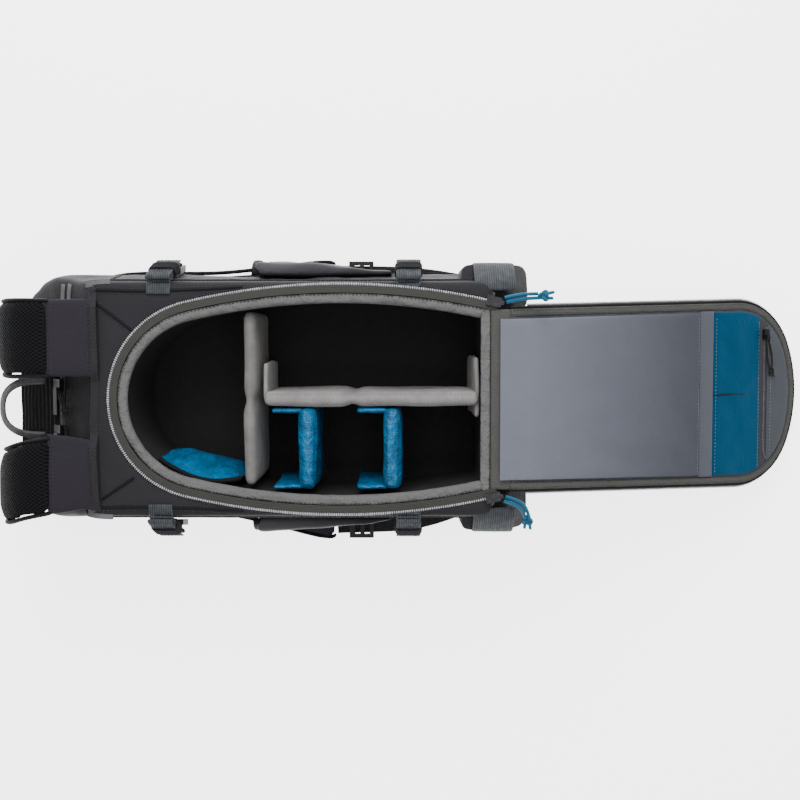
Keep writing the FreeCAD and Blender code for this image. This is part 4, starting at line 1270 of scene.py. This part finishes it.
def stitch_long_divider(pad, start):
    """Two rows of stitches along the long divider's top."""
    surface = surface_of(pad)
    rows = []
    for across in (-0.0042, 0.0042):
        starts = [(start + 0.004 + 0.0024 * k, across, ABOVE) for k in range(82)]
        rows.append(press_all(surface, starts, -Z))
    stitches("long_divider_stitches", rows, THREAD, body="long_divider_body")


def make_blue_dividers():
    """Two puffy dividers of bright nylon, each with a hooked flap at both ends."""
    half = 0.0078
    for name, middle in (("head", 0.041), ("foot", 0.121)):
        body = f"short_divider_{name}_body"
        low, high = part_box(f"short_divider_{name}")
        wall_low, wall_high = (middle - half, low.y, low.z), (middle + half, high.y, high.z)

        def crease(p, seed=middle * 100):
            shift = noisy((p.x, p.y * 0.6, p.z), 45, 0.0019, seed)
            ridge = abs(noisy((p.x * 0.5, p.y * 1.6, p.z), 75, 1.0, seed)) * 0.0022
            return p + Vector((shift, noisy(p, 50, 0.0008, seed), 0.0006 - ridge))

        wall = soft_box(f"blue_divider_{name}", wall_low, wall_high, BLUE, body, 0.0032, 0.0055,
                        (0.0018, 0.0, 0.0018), crease)
        settle(wall, "blue_nylon", f"short_divider_{name}")
        for number, y in enumerate((low.y, high.y - 0.0046)):
            tip = Vector((low.x, y, low.z + 0.004))
            root = Vector((middle - 0.004, y + 0.0046, high.z - 0.0036))
            flap = soft_box(f"blue_flap_{name}_{number}", tip, root, BLUE, body, 0.003, 0.0019,
                            (0, 0.0005, 0.001), crease)
        line = [Vector((middle, low.y + 0.004 + k * 0.003, high.z + 0.0016)) for k in range(24)]
        sewn = [[p + X * s * 0.0058 for p in line] for s in (1, -1)]
        stitches(f"blue_stitches_{name}", sewn, THREAD_DARK, body=body)


def make_wall_pocket():
    """The slip pocket on the right wall of the head bay: slack cloth under a bound mouth."""
    low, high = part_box("wall_pocket")
    count = 40
    head, foot = Vector((low.x - 0.004, high.y - 0.001, 0)), Vector((high.x + 0.003, low.y + 0.001, 0))
    profile = ((0.0, 0.001), (0.1, 0.005), (0.3, 0.009), (0.55, 0.011), (0.8, 0.006), (1.0, -0.006))
    rows = []
    for share, bulge in smooth_path(profile, 0.05):
        row = []
        for k in range(count + 1):
            along = k / count
            sag = math.sin(math.pi * along)
            p = head.lerp(foot, along) + Z * (low.z + (high.z - 0.002 - low.z) * share)
            p.y += bulge * sag ** 0.6 - 0.005 * sag * share
            loose = min(1.0, 5 * (1 - share) + 0.15)
            crumple = noisy((p.x * 1.4, p.z, p.y * 0.6), 42, 0.0028, 6.1) * loose
            row.append(p + Y * crumple + Z * noisy(p, 60, 0.0008, 1.0))
        rows.append(row)
    skin = [p for row in rows for p in row]
    points = skin + [p - Y * 0.0012 for p in skin]
    faces = grid_faces(len(rows), count + 1) + grid_faces(len(rows), count + 1, len(skin))
    sheet = piece_from("wall_pocket_cloth", points, faces, BLUE, refine=1)
    settle(sheet, "blue_nylon", "wall_pocket")
    bound = sweep("wall_pocket_binding", rail_along(rows[-1]), circle(0.0024, 10, 1.2), BINDING)


# ---- lid -------------------------------------------------------------------------------------


LID_EDGE_KEPT = 0.62  # the share of a lid panel's height that is left at its sewn edges


def lid_pad(name, start, end, inset, height, material, puff, crease, cell, seed=1.0, taper=0.0):
    """A sewn-down panel on the lid's inner face, between two distances from the hinge."""
    rows = max(3, round((end - start) / cell))
    cols = 36
    points = []
    for skin in (0, 1):
        for i in range(rows + 1):
            share_x = -1 + 2 * i / rows
            x = start + (end - start) * i / rows
            half = lid_half(x, inset)
            for k in range(cols + 1):
                share = math.sin(math.pi / 2 * (-1 + 2 * k / cols))
                p = Vector((x, share * half, 0))
                if not skin:
                    swell = max(0.0, (1 - abs(share_x) ** 4) * (1 - abs(share) ** 14)) ** puff
                    rise = min(1.0, (p.x - start) / taper) if taper else 1.0
                    full = LID_EDGE_KEPT + (1 - LID_EDGE_KEPT) * swell
                    p.z += height * full * (0.93 + 0.07 * (1 - share_x**2)) * (0.3 + 0.7 * rise)
                    p.z += swell * (noisy(p, 16, crease * 2, seed) + noisy(p, 55, crease, seed + 2))
                points.append(LID @ p)
    faces = closed_grid_faces(rows + 1, cols + 1)
    return piece_from(name, points, faces, material, "lid", refine=1)


def lid_line(*places, lift):
    """A smooth line in the lid's frame, through places of (along, across)."""
    return [LID @ Vector((p[0], p[1], lift)) for p in smooth_path([(*q, 0) for q in places], 0.003)]


def make_lid_shell():
    """The lid's outer skin, with a rolled edge and a flat back."""

    def ring(inset, level):
        rail = lid_rail(inset, level, LID_START, 0.004)
        return shared_out([LID @ p for p, _, _ in rail], 180)

    rings = [ring(0.012, -0.0018), ring(0.004, -0.0012), ring(0.0012, -0.0016), ring(0.0, -0.0032),
             ring(-0.0003, -0.008), ring(0.0, -0.0125), ring(0.0014, -0.0152), ring(0.005, -LID_THICK),
             ring(0.012, -LID_THICK)]
    middle = LID @ Vector((0.18, 0, -LID_THICK))
    rings += [[p.lerp(middle, share) for p in rings[-1]] for share in (0.2, 0.4, 0.6, 0.8, 0.96)]
    points = [p + Z * noisy(p, 30, 0.0004, 5.5) for row in rings for p in row]
    faces = ring_faces(len(rings), len(rings[0]))
    shell = piece_from("lid_shell", points, faces, NYLON_SHADED, "lid", refine=1)
    settle(shell, "shell_nylon", "lid_cover", "lid_foam")


def make_lid_border():
    """The thick knit border of the lid, its dark bound edge, its margin and its stitches."""
    section = [(-0.0002, -0.0016), (-0.0006, 0.0004), (-0.0024, 0.0013), (-0.0045, 0.0016),
               (-0.0068, 0.0012), (-0.0084, 0.0002), (-0.0086, -0.0014)]
    border = sweep("lid_border", in_lid(lid_rail(0, 0, LID_START, 0.003)), section, GUSSET, "lid",
                   refine=1, vary=uneven(120, 0.0006, 3.3))
    settle(border, "lining_grey", "lid_gusset", "lid_lining")
    edge = sweep("lid_edge_binding", in_lid(lid_rail(-0.0002, -0.0014, LID_START, 0.003)),
                 circle(0.0017, 8), BINDING, "lid")
    section = [(-0.0078, -0.0012), (-0.0078, 0.0002), (-0.0135, 0.0004), (-0.0135, -0.0010)]
    margin = sweep("lid_margin", in_lid(lid_rail(0, 0, LID_START, 0.004)), section, LID_GREY_DULL, "lid")
    sewn = [p for p, _, _ in in_lid(lid_rail(0.0074, 0.0014, LID_START, 0.002))]
    inner = [p for p, _, _ in in_lid(lid_rail(0.0022, 0.0014, LID_START, 0.002))]
    up = LID.to_3x3() @ Z
    stitches("lid_border_stitches", [sewn, inner], THREAD_DARK, up, "lid")


def make_lid_coil():
    """The coil round the lid's edge that meets the bag's, with its tape."""
    coil = beads("lid_coil", in_lid(lid_rail(-0.0030, -0.0046, 0.030, TOOTH_PITCH)), TOOTH, COIL, "lid")
    settle(coil, "zip_coil", "lid_zip_teeth")
    section = [(0.0, -0.0004), (0.0034, -0.0004), (0.0034, 0.0002), (0.0, 0.0002)]
    tape = sweep("lid_coil_tape", in_lid(lid_rail(0, -0.0056, 0.030, 0.004)), section, TAPE, "lid")


def make_lid_face():
    """Padded panel, seam, welt, blue pocket, zip strip and end panel, in that order."""
    inset, lap = LID_PANEL_INSET - 0.002, 0.0004
    # its cloth is painted lighter near the hinge and darker towards the seam (painted light and shade)
    panel = lid_pad("lid_padded_face", -0.0030, LID_SEAM + lap / 2, inset, 0.0052, LID_GREY,
                    puff=0.3, crease=0.0009, cell=0.005, taper=0.022)
    settle(panel, "lid_grey", "lid_padded_panel")
    welt = lid_pad("lid_welt_face", LID_SEAM - lap, LID_WELT + lap, inset - 0.0015, 0.0042, WELT_GREY,
                   puff=0.4, crease=0.0004, cell=0.002, seed=4.0)
    settle(welt, "lid_grey", "lid_welt")
    pocket = lid_pad("lid_pocket_face", LID_WELT - lap, LID_POCKET + lap, inset, 0.0030, BLUE_FLAT,
                     puff=0.3, crease=0.0010, cell=0.004, seed=7.0)
    settle(pocket, "blue_nylon", "lid_pocket")
    strip = lid_pad("lid_zip_tape", LID_POCKET, LID_ZIP, inset, 0.0020, TAPE_DARK,
                    puff=0.4, crease=0.0003, cell=0.002, seed=2.0)
    settle(strip, "zip_tape", "lid_pocket_zip")
    end = lid_pad("lid_end_face", LID_ZIP, LID_PANEL_END, inset, 0.0030, LID_GREY_DULL,
                  puff=0.35, crease=0.0007, cell=0.003, seed=9.0)
    settle(end, "lid_grey", "lid_end_panel")


def make_lid_details():
    """Stitch rows beside the panels' seams, the pocket's middle seam and its zip coil."""
    up = LID.to_3x3() @ Z
    rows = []
    places = (LID_SEAM - 0.0035, LID_WELT + 0.003, LID_POCKET - 0.003, LID_ZIP + 0.0035)
    for x, lift in zip(places, (0.0048, 0.0034, 0.0031, 0.0031)):
        half = lid_half(x, 0.014)
        rows.append(lid_line((x, -half), (x, 0), (x, half), lift=lift))
    stitches("lid_stitches", rows, THREAD_LID, up, "lid")
    seam_line = lid_line((0.249, -0.0012), (0.268, -0.0004), (0.290, -0.001), lift=0.0031)
    sweep("lid_pocket_seam", rail_along(seam_line, up), circle(0.0007, 6), BINDING, "lid")
    x = (LID_POCKET + LID_ZIP) / 2
    half = lid_half(x, 0.016)
    line = evenly(lid_line((x + 0.003, -half), (x, -half * 0.8), (x, 0), (x, half * 0.8),
                           (x + 0.003, half), lift=0.0024), 0.0015)
    beads("lid_pocket_coil", rail_along(line, up), (0.0006, 0.0010, 0.0007), COIL_DARK, "lid")


def make_back_pads():
    """The two mesh cushions of the lid's outer side, which rest against the wearer's back."""
    for side_name, side in SIDES:
        near, far = sorted((side * 0.012, side * 0.072))
        low, high = (0.050, near, -0.025), (0.270, far, -0.0155)
        pad = soft_box(f"back_pad_{side_name}", low, high, MESH, "lid", 0.006, 0.004, (0, 0, 0.0014),
                       lambda p: LID @ p)
        inflate(pad, 0.004)
        if side > 0:
            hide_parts("back_pads")


# ---- harness ---------------------------------------------------------------------------------

# the shoulder pads' stations as (x, z, half width), and each pad's middle at them
STRAP_STATIONS = ((-0.195, 0.1785, 0.0355), (-0.221, 0.177, 0.036), (-0.239, 0.163, 0.036),
                  (-0.2495, 0.130, 0.034), (-0.2605, 0.085, 0.032), (-0.261, 0.040, 0.030),
                  (-0.249, 0.014, 0.028), (-0.226, 0.0074, 0.025), (-0.170, 0.0074, 0.023),
                  (-0.060, 0.0074, 0.024), (0.042, 0.0074, 0.025), (0.060, 0.0074, 0.018))
STRAP_MIDDLES = {
    "left": (0.057, 0.057, 0.057, 0.058, 0.060, 0.062, 0.066, 0.074, 0.101, 0.103, 0.113, 0.118),
    "right": (-0.070, -0.075, -0.081, -0.084, -0.085, -0.086, -0.088, -0.092, -0.101, -0.108, -0.131,
              -0.137),
}
STRAP_THICK = 0.0112
# the wings' stations as (x, z), and each wing's (middle, half width) at them
WING_STATIONS = ((-0.1535, 0.1722), (-0.175, 0.1742), (-0.199, 0.1778))
WING_SHAPES = {
    "left": ((0.0575, 0.0355), (0.0575, 0.0358), (0.0572, 0.0352)),
    "right": ((-0.0700, 0.0312), (-0.0690, 0.0345), (-0.0690, 0.0378)),
}
# the lower webbing's stations as (x, z), and each one's middle at them
WEBBING_STATIONS = ((0.061, 0.0052), (0.140, 0.0048), (0.195, 0.008), (0.224, 0.026))
WEBBING_MIDDLES = {"left": (0.124, 0.122, 0.114, 0.104), "right": (-0.143, -0.139, -0.122, -0.104)}


def strap_rail(rows):
    """Stations of a strap from rows of (x, middle, z, half width), out to the bag's left."""
    rail = []
    for i, row in enumerate(rows):
        ahead, behind = rows[min(i + 1, len(rows) - 1)], rows[max(i - 1, 0)]
        run = Vector((ahead[0] - behind[0], 0, ahead[2] - behind[2]))
        rail.append((Vector(row[:3]), Y.copy(), Y.cross(run).normalized()))
    return rail


def pad_section(half, thick, count=30):
    """A cushion's section: nearly flat faces and full round edges."""
    loop = []
    for i in range(count):
        turn = 2 * math.pi * i / count
        c, s = math.cos(turn), math.sin(turn)
        across = half * math.copysign(abs(c) ** 0.45, c)
        loop.append((across, thick / 2 * math.copysign(abs(s) ** 0.7, s)))
    return loop


def make_strap_pads():
    """The two shoulder pads: mesh outside, cloth against the bag, bound along both edges."""
    for side_name, _ in SIDES:
        middles = STRAP_MIDDLES[side_name]
        rows = [(x, y, z, half) for (x, z, half), y in zip(STRAP_STATIONS, middles)]
        rows = smooth_path(rows, 0.007)
        rail = strap_rail(rows)
        sections = [pad_section(row[3] - 0.0012, STRAP_THICK) for row in rows]
        pad = sweep(f"strap_cushion_{side_name}", rail, sections, MESH)
        pad = inflate(pad, 0.003, pressure=3.0)
        back_cloth(pad, rail)
        settle(pad, "strap_mesh", f"strap_pad_{side_name}")
        for edge, across in (("outer", 1), ("inner", -1)):
            line = []
            for (place, out, up), row in zip(rail, rows):
                line.append((place + out * across * (row[3] - 0.0008), out, up))
            section = circle(0.0022, 12, 0.0046 / 0.0022)
            bound = sweep(f"strap_binding_{side_name}_{edge}", line, section, BINDING, refine=1)


def back_cloth(pad, rail):
    """Gives the faces that look towards the bag the plain cloth."""
    pad.data.materials.append(STRAP_CLOTH)
    for face in pad.data.polygons:
        place, _, up = min(rail, key=lambda s: (s[0].xz - face.center.xz).length_squared)
        if face.normal.dot(up) < -0.2:
            face.material_index = 1


def make_strap_wings():
    """The stitched cloth ends that join the shoulder straps to the yoke."""
    for side_name, _ in SIDES:
        rows = [(x, y, z, half) for (x, z), (y, half) in zip(WING_STATIONS, WING_SHAPES[side_name])]
        rows = smooth_path(rows, 0.004)
        rail = strap_rail(rows)

        def crumple(p):
            return p + Z * (noisy((p.x * 0.5, p.y, p.z), 60, 0.0009, 2.2) + noisy(p, 28, 0.0010, 6.0))

        sections = []
        for k, row in enumerate(rows):
            sections.append(pad_section(row[3], 0.0036 + 0.004 * k / len(rows), 44))
        wing = sweep(f"strap_wing_cloth_{side_name}", rail, sections, STRAP_CLOTH, vary=crumple)
        settle(wing, "strap_fabric", f"strap_wing_{side_name}")
        surface = surface_of(wing)
        sewn = []
        for x in (-0.158, -0.161, -0.1935, -0.1965):
            middle = float(np.interp(-x, [-r[0] for r in rows], [r[1] for r in rows]))
            half = float(np.interp(-x, [-r[0] for r in rows], [r[3] for r in rows])) - 0.003
            row = [(x, middle - half + half * k / 15, ABOVE) for k in range(31)]
            sewn.append(press_all(surface, row, -Z, 0.0002))
        stitches(f"strap_wing_stitches_{side_name}", sewn, THREAD_DARK)


def ribbon(name, line, wide, thick, material, up, ribs=7, depth=0.00035, body="bag"):
    """Webbing along a line: a flat band with ribs that run its whole length."""
    band = sweep(name, rail_along(line, up), flat_section(wide, thick, ribs, depth), material, body)
    return band


def make_strap_webbing():
    """The lower straps, from the ladder locks to the corners of the foot."""
    for side_name, side in SIDES:
        rows = [(x, y, z) for (x, z), y in zip(WEBBING_STATIONS, WEBBING_MIDDLES[side_name])]
        line = [Vector(p) for p in smooth_path(rows, 0.005)]
        band = ribbon(f"lower_webbing_{side_name}", line, 0.020, 0.0018, WEB_BLACK, Z,
                      depth=0.0003)
        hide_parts(f"strap_webbing_{side_name}")


def make_haul_loop():
    """The carrying loop of ribbed webbing at the head, standing out past it."""
    low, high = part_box("grab_handle")
    middle = (low.y + high.y) / 2
    half = (high.y - low.y) / 2 - 0.0018
    root, reach = high.x, high.x - low.x - 0.002
    line = []
    for k in range(49):
        turn = math.pi * (k / 48)
        c, s = math.cos(turn), math.sin(turn)
        y = middle + half * math.copysign(abs(c) ** 0.8, c)
        line.append(Vector((root - reach * abs(s) ** 0.72, y, (low.z + high.z) / 2)))
    lean = math.radians(30)
    rail = []
    for place, out, up in rail_along(line, Z):
        rail.append((place, out * math.cos(lean) + up * math.sin(lean),
                     up * math.cos(lean) - out * math.sin(lean)))
    section = [(b, a) for a, b in flat_section(high.z - low.z, 0.0034, 5, 0.0006)]
    loop = sweep("carry_loop", rail, section, WEB_LOOP, "haul_loop")
    settle(loop, "webbing_grey", "grab_handle")


# the head's slope, from where the head stands out furthest up to the rim: x runs up it, z out of it
SLOPE_LOW, SLOPE_HIGH = HEAD_FORM[-2:]
SLOPE_ANGLE = math.atan2(SLOPE_HIGH[0] - SLOPE_LOW[0], SLOPE_HIGH[1] - SLOPE_LOW[1])
SLOPE = Matrix.Translation((SLOPE_LOW[1], 0, SLOPE_LOW[0])) @ Matrix.Rotation(-SLOPE_ANGLE, 4, "Y")


def make_top_pocket():
    """The ribbed panel and the zip of the pocket on the head's slope, and above them a dark sheet that
    is painted shadow between the straps.
    """

    def ribs(p):
        raised = 0.0009 * math.cos(2 * math.pi * p.x / 0.0065) if p.z > 0.0005 else 0
        return SLOPE @ (p + Z * (raised + noisy(p, 40, 0.0010, 4.4)))

    panel = soft_box("top_pocket_face", (0.004, -0.058, -0.002), (0.069, 0.062, 0.0018), BINDING,
                     cell=0.0016, edge=0.0012, bulge=(0, 0, 0.0015), vary=ribs, refine=0)
    settle(panel, "shell_nylon", "top_pocket_panel")
    def rumpled(p):
        return SLOPE @ (p + Z * noisy(p, 45, 0.0012, 2.5))

    # a dark sheet laid on the slope as painted shadow between the shoulder straps
    ridge = soft_box("head_painted_shadow_sheet", (0.0800, -0.066, -0.003), (0.1255, 0.066, 0.0012), BINDING,
                     cell=0.004, edge=0.0012, vary=rumpled)
    up = SLOPE.to_3x3() @ Z
    line = [SLOPE @ Vector((0.0745, -0.064 + 0.132 * k / 44, 0.0006)) for k in range(45)]
    tape = sweep("top_pocket_tape", rail_along(line, up), flat_section(0.010, 0.0014), TAPE)
    settle(tape, "zip_tape", "top_pocket_zip")
    coil = rail_along(evenly([p + up * 0.0010 for p in line], FINE_TOOTH_PITCH), up)
    beads("top_pocket_coil", coil, FINE_TOOTH, COIL_DARK)


def make_top_pulls():
    """The tied black pull of each slider of the head pocket."""
    for side_name, y in (("left", 0.012), ("right", -0.032)):
        body = f"top_zip_{side_name}"
        start = SLOPE @ Vector((0.0765, y - 0.004, 0.0052))
        bend = SLOPE @ Vector((0.0815, y - 0.0125, 0.0062))
        end = SLOPE @ Vector((0.0845, y - 0.0205, 0.0052))
        for number, shift in enumerate((-0.0013, 0.0013)):
            line = [Vector(p) + X * shift for p in smooth_path([start, bend, end], 0.002)]
            strand = sweep(f"top_pull_{side_name}_{number}", rail_along(line), circle(TOP_CORD / 2, 8),
                           CORD_BLACK, body)
        run = SLOPE.to_3x3() @ Vector((0.2, -1, 0))
        knot = knot_piece(f"top_pull_knot_{side_name}", end + run * 0.0025, run, LID_CORD, CORD_BLACK,
                          body)


# ---- sides -----------------------------------------------------------------------------------


def make_side_pockets():
    """A slack bottle pocket on each side, its mouth towards the head and bound in black."""
    for side_name, side in SIDES:
        low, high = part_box(f"side_pocket_{side_name}")
        wall = HALF_WIDE - 0.003
        depth = abs(high.y if side > 0 else low.y) - wall
        start, end = low.x, high.x

        def slack(p, side=side, depth=depth, start=start, end=end):
            along = (p.x - start) / (end - start)
            keep = 1 - 0.75 * max(0.0, along) ** 1.6
            out = (abs(p.y) - wall) * keep
            out += noisy((p.x, 0, p.z), 38, 0.0022, 4.0 * side) * min(1.0, out / 0.004)
            pinch = 1 - 0.16 * max(0.0, along)
            middle = 0.095
            return Vector((p.x, side * (wall + out), middle + (p.z - middle) * pinch))

        near, far = sorted((side * wall, side * (wall + depth)))
        # the pocket's cloth carries a painted highlight at its mouth
        pocket = soft_box(f"bottle_pocket_{side_name}", (start, near, low.z), (end, far, high.z),
                          NYLON_POCKET_LIT, cell=0.0045, edge=0.004, bulge=(0, 0.002, 0), vary=slack)
        settle(pocket, "shell_nylon", f"side_pocket_{side_name}")
        rim = []
        for k in range(31):
            share = k / 30
            out = wall + (depth + 0.0016) * math.sin(math.pi * share) ** 0.5
            rim.append(Vector((start + 0.0005, side * out, low.z + (high.z - low.z) * share)))
        mouth = sweep(f"bottle_pocket_mouth_{side_name}", rail_along(rim, X),
                      flat_section(0.0030, 0.007), BINDING)
        hem = [p + X * 0.0125 for p in rim[4:-4]]
        stitches(f"bottle_pocket_hem_{side_name}", [hem], THREAD_DARK, Y * side)


# the folded tails: how far they lean out, each layer's height and their length
FOLD_LEAN = math.radians(36)
FOLD_LAYERS = (0.0016, 0.0046, 0.0076)
FOLD_LONG = 0.027


def fold_frame(x, side):
    """The top of a folded tail, with the ways down it and out of it."""
    down = Vector((0, side * math.sin(FOLD_LEAN), -math.cos(FOLD_LEAN)))
    out = Vector((0, side * math.cos(FOLD_LEAN), math.sin(FOLD_LEAN)))
    if x < 0:
        down = (down + X * 0.28).normalized()
    return Vector((x, side * 0.1085, RIM)), down, out


def folded_tail(x, side):
    """The line of a strap's spare end, laid to and fro in three layers down the bag's shoulder."""
    top, down, out = fold_frame(x, side)
    points = []
    for number, layer in enumerate(FOLD_LAYERS):
        shares = (0.0, 0.2, 0.5, 0.8, 1.0)
        for share in shares if number % 2 == 0 else reversed(shares):
            bow = 0.0012 * math.sin(math.pi * share)
            points.append(top + down * FOLD_LONG * share + out * (layer + bow))
        over = 0.0014 if number % 2 == 0 else -0.0014
        points.append(points[-1] + down * over + out * 0.0015)
    return [Vector(p) for p in smooth_path(points[:-1], 0.0014)]


def keeper_loop(x, side):
    """The closed line of an elastic band round the folded tail."""
    top, down, out = fold_frame(x, side)
    middle = top + down * FOLD_LONG * 0.52 + out * FOLD_LAYERS[1]
    line = []
    for k in range(40):
        turn = 2 * math.pi * k / 40
        c, s = math.cos(turn), math.sin(turn)
        line.append(middle + X * 0.0122 * math.copysign(abs(c) ** 0.35, c)
                    + out * 0.0062 * math.copysign(abs(s) ** 0.6, s))
    return line, down


STRAPS_X = (-0.096, 0.136)


def compression_strap(end, x, side):
    """One strap down a side at x: webbing, its turn over the rim, a folded tail and a keeper."""
    starts = [(x, side * BESIDE, z) for z in np.linspace(0.161, 0.040, 30)]
    line = press_all(SHELL_SURFACE, starts, -Y * side, 0.0012)
    web = ribbon(f"side_strap_{end}", line, 0.020, 0.0018, WEB_SIDE, Y * side)
    starts = [(x, side * y, BESIDE) for y in np.linspace(0.098, 0.1095, 8)]
    top = press_all(SHELL_SURFACE, starts, -Z, 0.0012)
    ribbon(f"side_strap_top_{end}", top, 0.0225, 0.0018, WEB_SIDE, Z)
    fold = sweep(f"side_strap_fold_{end}", rail_across(folded_tail(x, side), X),
                 flat_section(0.0230, 0.0020, 7, 0.0004), WEB_SIDE)
    loop, down = keeper_loop(x, side)
    keeper = sweep(f"elastic_keeper_{end}", rail_across(loop, down, True),
                   flat_section(0.0105, 0.0016, 5, 0.0003), BINDING, loop=True)
    return web, keeper


def make_compression_straps():
    """Two webbing straps down each side."""
    for side_name, side in SIDES:
        made = [compression_strap(f"{side_name}_{number}", x, side) for number, x in enumerate(STRAPS_X)]
        web, keeper = made[0]
        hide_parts(f"compression_straps_{side_name}")
        if side > 0:
            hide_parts("strap_keepers")


# the tab's line down the side, as (y, z)
HIP_LINE = ((0.1015, 0.1668), (0.109, 0.1655), (0.118, 0.157), (0.1265, 0.144), (0.1285, 0.128),
            (0.1275, 0.100), (0.1245, 0.060), (0.119, 0.036))


def make_hip_webbing():
    """The broad webbing tab at each side of the foot, over the hip belt's padded root."""
    for side_name, side in SIDES:
        line = [Vector((0.2165, side * y, z)) for y, z in smooth_path(HIP_LINE, 0.003)]
        tab = sweep(f"hip_tab_{side_name}", rail_across(line, X),
                    flat_section(0.0385, 0.0024, 13, 0.0005), WEB_SIDE, vary=wavy(30, 0.0008, 3.0))
        settle(tab, "webbing_grey", f"hip_webbing_{side_name}")
        near, far = sorted((side * 0.086, side * 0.1262))

        def wedge(p, side=side):
            roof = 0.1600 - max(0.0, abs(p.y) - 0.104) * 0.75 - max(0.0, p.x - 0.226) * 1.3
            p = Vector((p.x, p.y, min(p.z, roof)))
            return p + Y * side * noisy(p, 35, 0.0014, 2.0 * side) + X * noisy(p, 30, 0.0012, 5.0)

        root = soft_box(f"hip_root_{side_name}", (0.1860, near, 0.045), (0.2505, far, 0.158),
                        NYLON_SHADED, cell=0.0055, edge=0.007, bulge=(0, 0.0015, 0), vary=wedge)


def make_front_pocket():
    """The flat organiser pocket of the front, which the bag lies on, and its zip."""
    low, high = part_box("front_pocket")

    def slack(p):
        return p + Vector((noisy(p, 24, 0.0016, 3), noisy(p, 24, 0.0016, 5), 0))

    pocket = soft_box("front_pocket_cloth", low, high + Z * 0.004, NYLON_SHADED, cell=0.008, edge=0.013,
                      vary=slack)
    settle(pocket, "shell_nylon", "front_pocket")
    line = [Vector((high.x + 0.0006, -0.056 + 0.112 * k / 38, 0.014)) for k in range(39)]
    tape = sweep("front_pocket_tape", rail_along(line, X), flat_section(0.010, 0.0016), TAPE)
    settle(tape, "zip_tape", "front_pocket_zip")
    coil = rail_along(evenly([p + X * 0.0009 for p in line], FINE_TOOTH_PITCH), X)
    beads("front_pocket_coil", coil, FINE_TOOTH, COIL)


# ---- hardware kept from the frame ------------------------------------------------------------


def dress(name, material, bevel):
    """Rounds the edges of a rigid CAD part and paints it."""
    part = frame["nodes"][name]
    part.data.materials.clear()
    part.data.materials.append(material)
    rounding = part.modifiers.new("Bevel", "BEVEL")
    rounding.width = bevel
    rounding.segments = 2
    rounding.limit_method = "ANGLE"
    part.modifiers.new("Shading", "WEIGHTED_NORMAL")


def make_hardware():
    """The sliders, buckles and ladder locks keep their CAD shapes."""
    for name in ("main_slider_left", "main_slider_right", "top_pocket_slider_left",
                 "top_pocket_slider_right", "front_pocket_slider", "lid_pocket_slider"):
        dress(name, SLIDER, 0.0004)
    for name in ("side_release_buckles", "ladder_locks"):
        dress(name, BUCKLE, 0.0006)


make_studio()
make_cords()
SHELL = make_shell()
SHELL_SURFACE = surface_of(SHELL)
make_opening_zip()
make_rim_band()
make_tub()
make_hinge_cloth()
make_top_seams()
make_side_seams()
make_cross_divider()
make_long_divider()
make_blue_dividers()
make_wall_pocket()
make_lid_shell()
make_lid_border()
make_lid_coil()
make_lid_face()
make_lid_details()
make_back_pads()
make_strap_pads()
make_strap_wings()
make_yoke_hem()
make_strap_webbing()
make_haul_loop()
make_top_pocket()
make_top_pulls()
make_side_pockets()
make_compression_straps()
make_hip_webbing()
make_front_pocket()
make_hardware()
